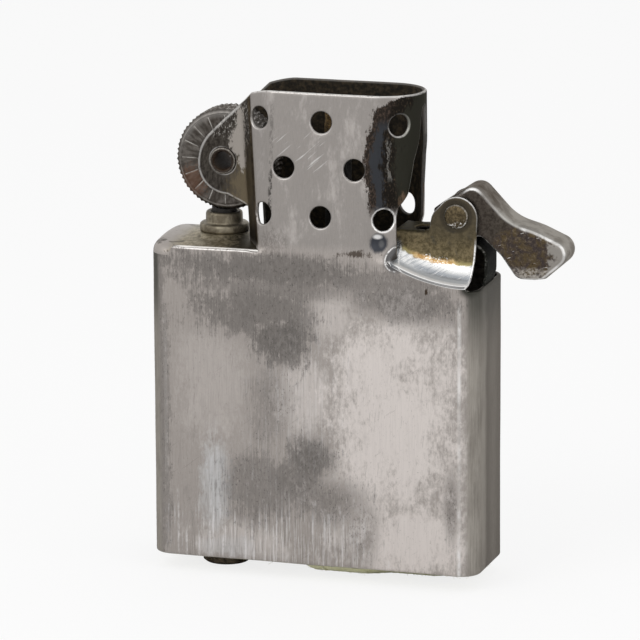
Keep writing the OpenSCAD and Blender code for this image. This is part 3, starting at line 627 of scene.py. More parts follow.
def saddle_pattern(step):
    """Outline of the front half of the saddle with its cam ear."""

    def at(x, z):
        s = s_low(x)
        return s, saddle_parts(s)[6] + z - ear_low_z(x)

    lip = [s_low(x) for x in np.arange(EAR_END_X, SLIT_RIGHT + 0.08, -step)][::-1]

    def top(x, back):
        """Way up the section to where it is so far from Y = 0."""
        cove = saddle_parts(x)[6]
        return x, cove + crown_length(CROWN_Z - ear_low_z(x)) - back

    cut = run((lip[-1], 0), at(LOBE_X + LOBE_R, LOBE_Z), step)
    lobe = [at(x, z) for x, z in arc((LOBE_X, LOBE_Z), LOBE_R, 0, math.radians(137), 0.25)]
    back_line = [(13.27, 40.6), (12.3, 39.55), (12.08, 39.1), (11.95, 38.5), (11.85, 38.0), (11.75, 37.7)]
    back = [at(*p) for a, b in zip(back_line, back_line[1:]) for p in run(a, b, 0.3)]
    slot = [(11.5, 1.75), (11.2, 1.4), (10.8, 1.25), (10.4, 1.2), (10.1, 1.05), (9.85, 0.8), (9.7, 0.4)]
    slot = [at(*back_line[-1])] + [top(x, far) for x, far in slot]
    left_s = 8.0
    seam = [top(s, 0) for s in np.arange(9.65, left_s, -step)]
    end_q = top(left_s, 0)[1]
    chunks = [
        ([(s, 0) for s in lip[:-1]], True),
        (cut + lobe + back + slot, False),
        (seam, True),
        (run((left_s, end_q), (left_s, 1.3), step) + run((left_s, 1.3), (lip[0], 0), 0.3), False),
    ]
    pin = [at(x, z) for x, z in arc((PIVOT_X, PIVOT_Z), 0.87, 0, -TURN, 0.2)]
    extra = [(s, 0.09 * k) for s in np.arange(8.5, 16.9, 0.4) for k in range(1, 8)]
    return chunks, [pin], extra


# Turned and swept pieces


def turned(profile, steps, centre, axis="Y", closed=True, shape=None):
    """Mesh turned from (radius, height) points round an axis through centre."""
    mesh = bmesh.new()
    rings = []
    for k in range(steps):
        a = TURN * k / steps
        ring = []
        for r, h in profile:
            if shape:
                r, h = shape(a, r, h)
            if axis == "Y":
                co = (centre[0] + r * math.cos(a), h, centre[2] + r * math.sin(a))
            else:
                co = (centre[0] + r * math.cos(a), centre[1] + r * math.sin(a), h)
            ring.append(mesh.verts.new(co))
        rings.append(ring)
    count = len(profile)
    for k in range(steps):
        a, b = rings[k], rings[(k + 1) % steps]
        for i in range(count if closed else count - 1):
            j = (i + 1) % count
            mesh.faces.new((a[i], a[j], b[j], b[i]))
    bmesh.ops.remove_doubles(mesh, verts=mesh.verts, dist=1e-5)
    return mesh


def rounded(corners, step=0.08):
    """Closed line from (a, b, radius) corners, with each corner rounded."""
    points = []
    for i, (x, y, r) in enumerate(corners):
        corner = Vector((x, y))
        if r == 0:
            points.append(tuple(corner))
            continue
        before = (Vector(corners[i - 1][:2]) - corner).normalized()
        after = (Vector(corners[(i + 1) % len(corners)][:2]) - corner).normalized()
        half = before.angle(after) / 2
        middle = corner + (before + after).normalized() * r / math.sin(half)
        start = corner + before * r / math.tan(half) - middle
        turn = math.pi - 2 * half
        if before.x * after.y - before.y * after.x > 0:
            turn = -turn
        count = max(3, round(abs(turn) * r / step))
        for k in range(count + 1):
            a = turn * k / count
            points.append((middle.x + start.x * math.cos(a) - start.y * math.sin(a),
                           middle.y + start.x * math.sin(a) + start.y * math.cos(a)))
    return points


def mirrored(half):
    """A profile of (radius, height) points, with the same below height 0."""
    return half + [(r, -h) for r, h in reversed(half) if h > 0.01]


def headings(path):
    """Way in which a path runs at each of its points."""
    ends = path[:1] + path + path[-1:]
    return [(b - a).normalized() for a, b in zip(ends, ends[2:])]


def lengths_along(path):
    """Length of a path up to each of its points, and a function that says where a given length lies: after
    which point, and what share of the way to the next."""
    lengths = [0.0]
    for a, b in zip(path, path[1:]):
        lengths.append(lengths[-1] + (b - a).length)

    def at(far):
        i = min(max(int(np.searchsorted(lengths, far)) - 1, 0), len(path) - 2)
        return i, (far - lengths[i]) / (lengths[i + 1] - lengths[i])

    return lengths, at


def skin(mesh, rings):
    """Adds the faces from each ring of vertices to the next."""
    for a, b in zip(rings, rings[1:]):
        for k in range(len(a)):
            j = (k + 1) % len(a)
            mesh.faces.new((a[k], a[j], b[j], b[k]))


def tube(mesh, path, radii, sides):
    """Adds a closed tube along path to mesh."""
    rings = []
    side = Vector((0, 1, 0.3)).normalized()
    for p, way, radius in zip(path, headings(path), radii):
        u = way.cross(side).normalized()
        side = u.cross(way).normalized()
        ring = []
        for k in range(sides):
            a = TURN * k / sides
            ring.append(mesh.verts.new(p + (u * math.cos(a) + side * math.sin(a)) * radius))
        rings.append(ring)
    skin(mesh, rings)
    mesh.faces.new(rings[0][::-1])
    mesh.faces.new(rings[-1])


# Finishes


class Value:
    """A socket that gives a number, which can be used in Python arithmetic."""

    def __init__(self, tree, socket):
        self.tree, self.socket = tree, socket

    def maths(self, operation, *values):
        made = self.tree.node("ShaderNodeMath", {"operation": operation}, enumerate(values))
        return Value(self.tree, made)

    def __add__(self, other):
        return self.maths("ADD", self, other)

    def __sub__(self, other):
        return self.maths("SUBTRACT", self, other)

    def __rsub__(self, other):
        return self.maths("SUBTRACT", other, self)

    def __mul__(self, other):
        return self.maths("MULTIPLY", self, other)

    def __truediv__(self, other):
        return self.maths("DIVIDE", self, other)

    def __pow__(self, other):
        return self.maths("POWER", self, other)

    def __abs__(self):
        return self.maths("ABSOLUTE", self)

    __radd__ = __add__
    __rmul__ = __mul__

    def most(self, other):
        return self.maths("MAXIMUM", self, other)

    def least(self, other):
        return self.maths("MINIMUM", self, other)

    def wave(self):
        return self.maths("SINE", self)

    def ramp(self, low, high):
        """0 below low and 1 above high, or the reverse where low is the greater, with soft ends."""
        values = {"Value": self, "From Min": low, "From Max": high}
        made = self.tree.node("ShaderNodeMapRange", {"interpolation_type": "SMOOTHSTEP"}, values)
        return Value(self.tree, made)


class Tree:
    """The node tree of a material or of the world."""

    def __init__(self, owner, output):
        owner.use_nodes = True
        self.tree = owner.node_tree
        self.tree.nodes.clear()
        self.output = self.tree.nodes.new(output)

    def fill(self, socket, value):
        """Links what feeds the socket, or sets the socket to a number or a colour."""
        value = value.socket if isinstance(value, Value) else value
        if isinstance(value, bpy.types.NodeSocket):
            self.tree.links.new(value, socket)
        else:
            socket.default_value = (*value, 1) if socket.type == "RGBA" else value

    def node(self, kind, settings, values, out=0):
        """Makes a node, sets it up, fills its sockets and returns one of its outputs."""
        made = self.tree.nodes.new(kind)
        for name, setting in settings.items():
            setattr(made, name, setting)
        for key, value in values.items() if isinstance(values, dict) else values:
            self.fill(made.inputs[key], value)
        return made.outputs[out]

    def ray(self, kind):
        return Value(self, self.node("ShaderNodeLightPath", {}, {}, f"Is {kind} Ray"))

    def surface(self, share, a, b):
        """Shows shader a where share is 0 and shader b where it is 1."""
        both = self.node("ShaderNodeMixShader", {}, {0: share, 1: a, 2: b})
        self.fill(self.output.inputs["Surface"], both)


class Finish(Tree):
    """The node tree of one material, whose places are in millimetres in the row frame."""

    def __init__(self, name):
        self.material = bpy.data.materials.new(name)
        super().__init__(self.material, "ShaderNodeOutputMaterial")
        self.shader = self.tree.nodes.new("ShaderNodeBsdfPrincipled")
        self.fill(self.output.inputs["Surface"], self.shader.outputs[0])
        coords = self.node("ShaderNodeTexCoord", {}, {}, "Object")
        self.place = self.vector("SCALE", {0: coords, "Scale": 1 / MM})
        self.x, self.y, self.z = (self.part(self.place, axis) for axis in "XYZ")

    def vector(self, operation, values):
        return self.node("ShaderNodeVectorMath", {"operation": operation}, values)

    def mix(self, share, a, b):
        """Colour a where share is 0 and colour b where it is 1."""
        return self.node("ShaderNodeMix", {"data_type": "RGBA"}, {0: share, 6: a, 7: b}, 2)

    def coats(self, colour, *coats):
        """A colour with coats of (share, colour) laid over it one after another."""
        for share, coat in coats:
            colour = self.mix(share, colour, coat)
        return colour

    def noise(self, scale, detail=4, rough=0.55, warp=0, shift=0):
        """Noise from 0 to 1 with scale cycles per millimetre, or a scale for each axis."""
        across = scale if isinstance(scale, tuple) else (scale,) * 3
        place = self.vector("MULTIPLY", {0: self.place, 1: across})
        if shift:
            place = self.vector("ADD", {0: place, 1: (shift, shift * 0.7, shift * 1.3)})
        return self.noise_at(place, detail, Roughness=rough, Distortion=warp)

    def noise_at(self, place, detail, **values):
        values = {"Vector": place, "Scale": 1, "Detail": detail, **values}
        return Value(self, self.node("ShaderNodeTexNoise", {}, values))

    def point(self, x, y, z):
        return self.node("ShaderNodeCombineXYZ", {}, {"X": x, "Y": y, "Z": z})

    def facing(self, axis):
        """How far the surface's normal points along an axis."""
        return self.part(self.node("ShaderNodeNewGeometry", {}, {}, "Normal"), axis)

    def part(self, vector, axis):
        return Value(self, self.node("ShaderNodeSeparateXYZ", {}, {0: vector}, axis))

    def attribute(self, name):
        return Value(self, self.node("ShaderNodeAttribute", {"attribute_name": name}, {}, "Fac"))

    def slanted(self, degrees, across, along):
        """Noise in long strokes that lean up to the right, seen from the front."""
        a = math.radians(degrees)
        high = (self.z * math.cos(a) - self.x * math.sin(a)) * across
        far = (self.x * math.cos(a) + self.z * math.sin(a)) * along
        return self.noise_at(self.point(far, high, self.y), 3)

    def far(self, x, z, rx=1, rz=1):
        """Distance from a point seen from the front, in parts of a half width and a half height."""
        return (((self.x - x) / rx) ** 2 + ((self.z - z) / rz) ** 2) ** 0.5

    def spot(self, x, z, rx, rz, ragged, soft=0.35):
        """1 in a ragged oval patch seen from the front, and 0 outside it."""
        return (self.far(x, z, rx, rz) + (ragged - 0.5) * 1.3).ramp(1 + soft, 1 - soft)

    def done(self, colour, roughness, metallic, height=None, depth=0.01, **constants):
        """Feeds the shader. Height is in 0 to 1, and depth in millimetres."""
        fed = {"Base Color": colour, "Roughness": roughness, "Metallic": metallic}
        if height is not None:
            values = {"Strength": 1, "Distance": depth * MM, "Height": height}
            fed["Normal"] = self.node("ShaderNodeBump", {}, values)
        for name, value in constants.items():
            fed[name.replace("_", " ").title().replace("Ior", "IOR")] = value
        for name, value in fed.items():
            self.fill(self.shader.inputs[name], value)
        return self.material


def sooted(f, rag):
    """How far a place is within the soot on the chimney's front, which begins along a ragged line, and how
    far it is into the bands within the soot."""
    top = (f.z - 49.8).most(0)
    bands = f.x - 5.55 - (f.z - 44.5) ** 2 * 0.025 + (rag - 0.5) * 2.2
    return bands - top * top * 0.75, bands


# Patches on the front: x, z, half width, half height and strength. All are stains but the tall one down the
# left corner, which is painted shade
STAINS_AND_SHADE = (
    (-4.7, 33.1, 11.3, 2.0, 0.82), (-6.4, 28.8, 6.9, 2.9, 0.8), (-3.2, 25.7, 3.4, 2.9, 0.95),
    (-4.5, 31.2, 9.0, 1.5, 0.62), (8.0, 32.4, 8.5, 1.3, 0.6), (-1.6, 10.9, 3.2, 2.2, 0.72),
    (10.4, 30.6, 5.9, 2.0, 0.75), (0.1, 13.3, 2.7, 2.6, 0.9), (-5.6, 9.3, 3.8, 3.5, 0.57),
    (1.6, 9.0, 4.6, 2.4, 0.55), (5.6, 6.2, 1.7, 3.6, 0.35), (15.1, 9.2, 0.7, 3.8, 0.45),
    (-16.6, 18.2, 1.1, 17, 0.55), (-4.5, 19.0, 2.6, 3.9, 0.35),
)
WORN = (
    (8.6, 17, 7.6, 11.5, 1.0), (-10.6, 20.5, 3.8, 5.7, 0.25), (-0.4, 20, 3.2, 4.5, 0.6),
    (11, 5.0, 5.5, 4.2, 1.0), (-7.7, 4.1, 4.5, 1.8, 0.5), (2.4, 28.6, 2.6, 2.6, 0.55),
)


def patches(f, places, ragged, soft=0.35):
    """The greatest of several ragged patches of (x, z, half width, half height, strength)."""
    most = None
    for x, z, rx, rz, strength in places:
        patch = f.spot(x, z, rx, rz, ragged, soft) * strength
        most = patch if most is None else most.most(patch)
    return most


def wall_finish():
    look = bpy.context.scene.insert_colours
    f = Finish("worn_brushed_steel")
    up = f.facing("Z")
    chimney = f.z.ramp(34.8, 36.4)
    behind = f.y.ramp(-0.5, 0.5)
    brush = f.noise((9, 9, 0.3), 5, 0.65)
    fine = f.noise((22, 22, 1.2), 4, 0.7, shift=3)
    cloud = f.noise((0.32, 0.32, 0.22), 6, 0.7, shift=9)
    grit = f.noise((2.6, 2.6, 1.3), 6, 0.75, shift=6)
    specks = f.noise((6, 6, 3), 4, 0.7, shift=11)
    ragged = 0.5 + (cloud - 0.5) * 2.2 + (grit - 0.5) * 1.7 + (brush - 0.5) * 0.9
    # The stains and the painted corner shade lie elsewhere on the back than on the front
    straight = f.x, f.z
    f.x = f.x * (1 - behind) + (2.6 - f.x) * behind
    f.z = f.z * (1 - behind) + (36.4 - f.z) * behind
    # Stains, with the painted shade down the left corner among them
    stain_and_shade = patches(f, STAINS_AND_SHADE, ragged) * (1 - straight[1].ramp(34.5, 35.5))
    worn = patches(f, WORN, ragged, 0.5) * (1 - chimney)
    bluish = f.spot(-10.6, 9.3, 1.35, 4.6, ragged, 0.6).most(f.spot(-9, 3.0, 2.4, 1.2, ragged) * 0.6)
    f.x, f.z = straight
    tone = f.noise((0.5, 0.5, 0.2), 5, 0.7, shift=13)
    combed = f.spot(-4.2, 3.6, 9.5, 4.8, ragged, 0.4).most(f.spot(-1, 18, 5, 9, ragged, 0.5) * 0.4)
    strokes = f.noise((4.5, 4.5, 0.16), 4, 0.7, shift=17)
    depth = (stain_and_shade * (0.62 + 0.9 * (grit - 0.3))).least(1)
    flecks = specks.ramp(0.58, 0.64) * stain_and_shade.ramp(0.05, 0.4)
    scored = f.slanted(84, 9, 0.35).ramp(0.67, 0.7).most(f.slanted(38, 7, 0.3).ramp(0.7, 0.72) * 0.6)
    smear = f.spot(4.5, 35.3, 1.8, 0.38, 0.5 + (ragged - 0.5) * 1.5)
    small = f.spot(12.43, 31.84, 0.2, 0.4, ragged).most(smear * 0.85)
    small = small.most(f.spot(-4.2, 36.1, 1.3, 1.2, ragged) * specks.ramp(0.4, 0.55) * 0.3)
    colour = f.coats(
        f.mix(worn, look.steel_mid, look.steel),
        (bluish * (0.4 + 0.45 * brush.ramp(0.35, 0.6)), (0.55, 0.55, 0.555)),
        ((1 - brush.ramp(0.32, 0.6)) * (0.26 - 0.15 * worn), look.steel_dark),
        (tone.ramp(0.42, 0.3) * (0.3 - 0.15 * worn), look.steel_dark),
        (fine.ramp(0.55, 0.68) * 0.3, look.steel),
        (specks.ramp(0.62, 0.68) * 0.3, look.stain_and_shade),
        (strokes.ramp(0.5, 0.62) * combed * 0.6, (0.74, 0.72, 0.72)),
        (strokes.ramp(0.44, 0.34) * combed * 0.5, look.steel_dark),
        (chimney * (0.3 + 0.5 * tone), (0.235, 0.222, 0.21)),
        (chimney * tone.ramp(0.5, 0.7) * 0.35, look.steel),
        (depth, look.stain_and_shade),
        (flecks * 0.45, (0.05, 0.046, 0.043)),
        (fine.ramp(0.62, 0.7) * stain_and_shade * 0.3, look.steel),
        (scored * 0.35 * (1 - chimney), look.stain_and_shade),
        (small, (0.05, 0.036, 0.026)),
    )
    # End walls: painted shade and painted reflections, in vertical streaks, light beside the corner, dark
    # further on and darkest at the top under the saddle and the cam
    end = abs(f.x).ramp(16.3, 17.1) * (1 - chimney)
    painted_reflection_streaks = brush.ramp(0.3, 0.7) * 0.5 + tone.ramp(0.3, 0.7) * 0.5
    far_side = (f.y * 1.05 + cloud).wave() * 0.5 + 0.5
    dull = f.coats(
        f.mix(painted_reflection_streaks, (0.2, 0.182, 0.16), (0.36, 0.335, 0.3)),
        ((f.y + (tone - 0.5) * 2).ramp(-2.5, -1.3) * (0.95 - 0.3 * far_side), (0.135, 0.12, 0.104)),
        ((f.z + tone * 6).ramp(27, 35) * 0.8, (0.04, 0.042, 0.036)),
    )
    # Painted highlight down the right front corner, and a faint one down the left, both stopping short of the
    # top
    line = abs(f.x - 15.95).ramp(0.3, 0.02) + abs(f.x + 15.95).ramp(0.3, 0.1) * 0.12
    long = f.noise((0.2, 0.2, 0.22), 4, 0.6, shift=21)
    line = line * f.z.ramp(31.4, 29.6) * (0.3 + 0.7 * grit.ramp(0.4, 0.52))
    line = line * (0.25 + 0.75 * long.ramp(0.4, 0.55))
    colour = f.coats(
        colour,
        (end, dull),
        # painted shadow at the top of the right corner, under the cut rim
        (f.spot(16.9, 32.5, 0.9, 1.0, 0.5, 0.5), (0.03, 0.03, 0.025)),
        (line.least(1) * 0.62, look.shine),
    )
    # The chimney's left fold, painted darker along it as shade, and its diagonal scratches
    crease = abs(f.x + 4.5).ramp(0.32, 0.1) * f.z.ramp(37.5, 39) * f.z.ramp(51, 50) * grit.ramp(0.45, 0.58)
    rubbed = f.spot(-0.4, 45.3, 1.7, 1.9, cloud).most(f.spot(-3.6, 46.2, 1.0, 1.6, cloud) * 0.6)
    scratch = f.slanted(42, 5.5, 0.25).ramp(0.62, 0.68) * rubbed
    colour = f.coats(
        colour,
        (crease * (0.45 + 0.5 * f.z.ramp(44, 43)), (0.06, 0.055, 0.05)),
        (scratch * 0.5, look.shine),
    )
    # The bend beside the wheel's ear, and the ear
    slope = (f.z - SHOULDER_Z) / (TOP_Z - SHOULDER_Z)
    left = f.x + 5.8 + slope * 1.45
    past_strip = left.ramp(0.05, -0.12) * f.z.ramp(35.3, 35.9)
    olive = f.spot(-7.9, 41.0, 1.7, 3.2, ragged, 0.5)
    torn = 0.5 + (grit - 0.5) * 2.6 + (cloud - 0.5) * 1.4
    light = f.spot(-8.5, 47.2, 0.5, 1.9, torn, 0.2).most(f.spot(-8.8, 45.6, 0.85, 1.3, torn, 0.2))
    light = light.most(f.spot(-8.35, 43.9, 0.42, 1.3, torn, 0.2))
    fold = f.mix(grit.ramp(0.42, 0.6), (0.026, 0.018, 0.013), (0.09, 0.07, 0.042))
    ear = f.coats(
        f.mix(grit.ramp(0.35, 0.65), (0.024, 0.02, 0.017), (0.07, 0.062, 0.053)),
        (specks.ramp(0.56, 0.62) * f.z.ramp(45.5, 47) * 0.8, (0.42, 0.4, 0.37)),
        (olive * 0.85, (0.14, 0.113, 0.074)),
        (light * 0.9, (0.34, 0.31, 0.28)),
        (abs(left + 0.22).ramp(0.34, 0.1) * 0.85, fold),
    )
    colour = f.mix(past_strip, colour, ear)
    # Soot: a brown flecked margin, a bluish band, black with a painted highlight streak, then dull olive
    deep, bands = sooted(f, 0.5 + (ragged - 0.5) * 0.55)
    high = (f.z + grit * 2).ramp(39.8, 41.4)
    sooty = deep.ramp(-0.12, 0.12) * high
    flecked = f.mix(specks.ramp(0.54, 0.64), (0.006, 0.0045, 0.003), (0.05, 0.037, 0.024))
    painted_highlight_streak = abs(bands - 2.5).ramp(0.2, 0.05) * f.z.ramp(42.6, 43.4) * f.z.ramp(47.6, 46.8)
    painted_highlight_streak = painted_highlight_streak * (0.3 + 0.7 * grit.ramp(0.4, 0.5))
    soot = f.coats(
        f.mix(specks.ramp(0.45, 0.6), (0.017, 0.013, 0.01), (0.06, 0.042, 0.033)),
        (bands.ramp(0.5, 1.0) * f.z.ramp(49.6, 48.2), (0.033, 0.036, 0.042)),
        (bands.ramp(1.5, 1.95), flecked),
        (bands.ramp(2.9, 3.4), (0.02, 0.02, 0.014)),
        (painted_highlight_streak * 0.5, (0.3, 0.29, 0.27)),
    )
    brown = f.spot(9.3, 39.9, 0.4, 1.7, ragged)
    colour = f.coats(
        colour,
        (sooty * 0.97, soot),
        (brown * 0.8, (0.16, 0.11, 0.075)),
    )
    # The dimple under the last hole, painted with a dark reflection, a lighter middle and a highlight;
    # painted shade at the end of the slit, with a painted highlight curving round it
    uneven = 0.5 + (grit - 0.5) * 0.4
    front = 1 - behind
    ring = ((f.x - 9.0) ** 2 + ((f.z - 34.9) * 0.9) ** 2) ** 0.5
    curve = abs(ring - 1.04).ramp(0.1, 0.03) * f.x.ramp(9.3, 8.9) * front
    colour = f.coats(
        colour,
        (f.spot(DIMPLE_X, DIMPLE_Z, 0.86, 1.0, uneven, 0.22) * front * 0.95, (0.036, 0.04, 0.05)),
        (f.spot(7.4, 36.4, 0.26, 0.36, uneven, 0.5) * front * 0.4, (0.2, 0.2, 0.2)),
        (f.spot(7.05, 37.15, 0.4, 0.24, uneven, 0.5) * front * 0.85, look.shine),
        (ring.ramp(1.5, 0.8) * front * 0.85, (0.06, 0.062, 0.066)),
        (curve * (0.1 + 0.6 * specks.ramp(0.45, 0.55)), look.shine),
    )
    # Edges painted bright as wear and as highlights, brightest where they face up, and painted highlights
    # round the last hole and along the vent's edge
    gap = f.attribute("edge")
    dark_rim = f.x.ramp(16.2, 16.7) * f.z.ramp(29, 30)
    strength = 0.3 + 0.7 * up.ramp(-0.1, 0.4)
    strength = strength * (1 - chimney * f.x.ramp(6.6, 6.2) * f.z.ramp(50.4, 50.1) * 0.6)
    wear_and_highlight = gap.ramp(0.22, 0.05) * grit.ramp(0.34, 0.5) * strength * (1 - dark_rim)
    wide = gap.ramp(0.36, 0.2) * left.ramp(-1.2, -1.6) * chimney * 0.5
    last_hole = gap.ramp(0.26, 0.1) * f.spot(*AIR_HOLES[2], 1.6, 1.6, 0.5, 0.1)
    last_hole = last_hole * (0.2 + 0.5 * grit.ramp(0.42, 0.55))
    vent_edge = gap.ramp(0.22, 0.1) * f.x.ramp(8.9, 9.6) * f.z.ramp(40.6, 42)
    vent_edge = vent_edge * f.z.ramp(50.3, 49.2) * front * 0.6
    colour = f.coats(
        colour,
        (wear_and_highlight.most(wide * grit.ramp(0.3, 0.5)) * (1 - sooty * 0.3), look.bright),
        (last_hole, look.shine),
        (vent_edge * (0.5 + 0.5 * tone.ramp(0.4, 0.6)), (0.3, 0.3, 0.26)),
    )
    rough = 0.32 + 0.14 * fine + 0.2 * depth + 0.2 * sooty - 0.08 * wear_and_highlight
    height = brush * 0.4 + fine * 0.25 + grit * 0.35
    return f.done(colour, rough, 1.0 - 0.25 * depth, height, 0.02, specular_tint=(0.7, 0.68, 0.66))


def deck_finish():
    look = bpy.context.scene.insert_colours
    f = Finish("tarnished_shoulder")
    grit = f.noise(2.2, 6, 0.7, shift=6)
    cloud = f.noise(0.5, 5, 0.65, 0.5, shift=8)
    olive = f.mix(grit.ramp(0.35, 0.65), (0.17, 0.145, 0.09), (0.4, 0.35, 0.26))
    silver = (f.x + cloud * 2.2).ramp(-13.0, -15.2).most(f.z.ramp(34.75, 34.3))
    dark = f.spot(-7.4, 35, 1.6, 3, 0.5 + (grit - 0.5) * 2).most((cloud + grit * 0.3).ramp(0.68, 0.8))
    # Edges painted bright as wear and as highlights, and the bend down into the end wall painted darker to
    # match the end walls' painted shade
    wear_and_highlight = f.attribute("edge").ramp(0.25, 0.08)
    end = f.x.ramp(-17.2, -17.6)
    colour = f.coats(
        f.mix(silver, olive, look.steel_mid),
        (dark * 0.75, (0.035, 0.028, 0.018)),
        (wear_and_highlight * 0.8, look.bright),
        (end * 0.5, look.steel_dark),
    )
    return f.done(colour, 0.32 + 0.25 * grit, 0.95, grit * 0.6 + cloud * 0.4, 0.03)


def saddle_finish():
    """Polished along its lip under a painted highlight band, then heat-tinted and browned up to the cam's
    ears.
    """
    look = bpy.context.scene.insert_colours
    f = Finish("polished_and_highlighted_saddle")
    up = f.facing("Z")
    grit = f.noise(2.5, 6, 0.7, shift=6)
    cloud = f.noise(0.6, 5, 0.65, 0.5, shift=4)
    specks = f.noise(6, 4, 0.7, shift=11)
    rise = f.z - ARC_Z + (ARC_R**2 - (EAR_END_X - f.x) ** 2) ** 0.5
    tint = rise - 0.95 - (f.x - 8.5) * 0.085 + (cloud - 0.5) * 0.9
    low = rise.ramp(0.95, 0.5) * f.x.ramp(9.5, 11.5)
    # Along the lip, a painted highlight and reflection band over the polish, with streaks
    polish_and_highlight = f.coats(
        f.mix(low * 0.8, (0.84, 0.84, 0.83), (0.32, 0.345, 0.38)),
        (f.slanted(32, 6, 0.35).ramp(0.5, 0.62) * 0.45, (0.27, 0.29, 0.32)),
        (f.slanted(28, 7, 0.3).ramp(0.6, 0.66) * 0.7, look.shine),
    )
    gold = f.mix(grit.ramp(0.4, 0.62), (0.3, 0.17, 0.06), (0.55, 0.4, 0.22))
    gold = f.mix(f.x.ramp(13.8, 15.5).most(f.x.ramp(11, 9.6)), gold, (0.2, 0.17, 0.08))
    brown = f.coats(
        f.mix(grit.ramp(0.35, 0.65), (0.07, 0.055, 0.028), (0.175, 0.138, 0.076)),
        (tint.ramp(1.3, 3.2) * 0.5, (0.06, 0.05, 0.033)),
        (cloud.ramp(0.55, 0.7) * 0.5, (0.04, 0.042, 0.04)),
    )
    fleck = specks.ramp(0.55, 0.6) * tint.ramp(0.05, 0.2) * tint.ramp(0.75, 0.5)
    fleck = fleck * f.x.ramp(11.2, 11.8) * f.x.ramp(14.2, 13.6)
    colour = f.coats(
        f.mix(tint.ramp(-0.12, 0.14), polish_and_highlight, gold),
        (tint.ramp(0.25, 0.6), brown),
        (fleck, look.shine),
    )
    # The lip's bend painted light, its two bright lines painted highlights, with a darker line between them
    # painted as shade in the groove
    flat = rise.ramp(0.42, 0.16)
    between = rise.ramp(-0.34, -0.28) * rise.ramp(-0.06, -0.12)
    colour = f.coats(
        colour,
        (flat, (0.5, 0.52, 0.54)),
        (rise.ramp(0.1, 0.0), look.shine),
        (between * 0.85, (0.09, 0.09, 0.09)),
    )
    # The rounded left end, with painted shade in its hollow and a painted highlight curving round it
    far = f.x.ramp(9.3, 8.7)
    scoop = f.mix(specks.ramp(0.45, 0.6), (0.05, 0.055, 0.065), (0.3, 0.31, 0.32))
    curve = abs(f.x - 8.95 - (0.6 - rise).most(0) ** 2).ramp(0.13, 0.04) * rise.ramp(1.5, 1.1)
    colour = f.coats(
        colour,
        (far * rise.ramp(2.2, 1.4) * 0.85, scoop),
        (curve * (0.3 + 0.5 * specks.ramp(0.4, 0.55)), look.shine),
    )
    # The ears, darker towards the top and in a ring round the rivet; the crown between them painted dark as
    # shade under the cam; edges painted bright as wear and as highlights
    ear = (f.z + grit * 1.5).ramp(37.6, 40.6)
    head = f.far(PIVOT_X, PIVOT_Z)
    gap = f.attribute("edge")
    slim = gap.ramp(0.12, 0.04) * f.z.ramp(37.4, 38.2) * (0.3 + 0.5 * f.z.ramp(39.5, 40.8))
    wear_and_highlight = gap.ramp(0.24, 0.08) * f.z.ramp(37.2, 35.6) * f.x.ramp(14, 15)
    wear_and_highlight = (wear_and_highlight * 1.4).most(slim).least(1) * (0.5 + 0.5 * grit.ramp(0.4, 0.5))
    wear_and_highlight = wear_and_highlight.most(gap.ramp(0.16, 0.06) * rise.ramp(0.3, 0))
    crown = f.mix(grit.ramp(0.4, 0.6), (0.02, 0.016, 0.008), (0.06, 0.048, 0.022))
    colour = f.coats(
        colour,
        (ear * 0.6, (0.046, 0.038, 0.029)),
        (abs(head - 1.5).ramp(0.4, 0.1) * 0.6, (0.03, 0.025, 0.018)),
        (up.ramp(0.7, 0.9) * f.z.ramp(36.9, 37.2), crown),
        (wear_and_highlight, look.shine),
    )
    metallic = 0.95 - 0.5 * tint.ramp(0.5, 1.0) - 0.65 * flat
    rough = 0.2 + 0.3 * tint.ramp(0, 0.6) + 0.1 * grit
    return f.done(colour, rough, metallic, grit * 0.5 + cloud * 0.5, 0.02, specular_tint=(0.52, 0.51, 0.48),
                  specular_ior_level=0.3)


def inside_finish():
    f = Finish("sooted_inside")
    grit = f.noise(1.8, 6, 0.7, shift=6)
    soot = f.mix(grit.ramp(0.4, 0.7), (0.014, 0.012, 0.009), (0.06, 0.045, 0.028))
    steel = f.mix(grit.ramp(0.35, 0.65), (0.1, 0.09, 0.075), (0.2, 0.185, 0.165))
    sooty = f.z.ramp(30, 34)
    colour = f.mix(sooty, steel, soot)
    colour = f.mix(f.attribute("edge").ramp(0.2, 0.08) * 0.25, colour, (0.4, 0.38, 0.36))
    return f.done(colour, 0.55 + 0.3 * grit, 0.6 * (1 - sooty), grit, 0.04, specular_ior_level=0.15)


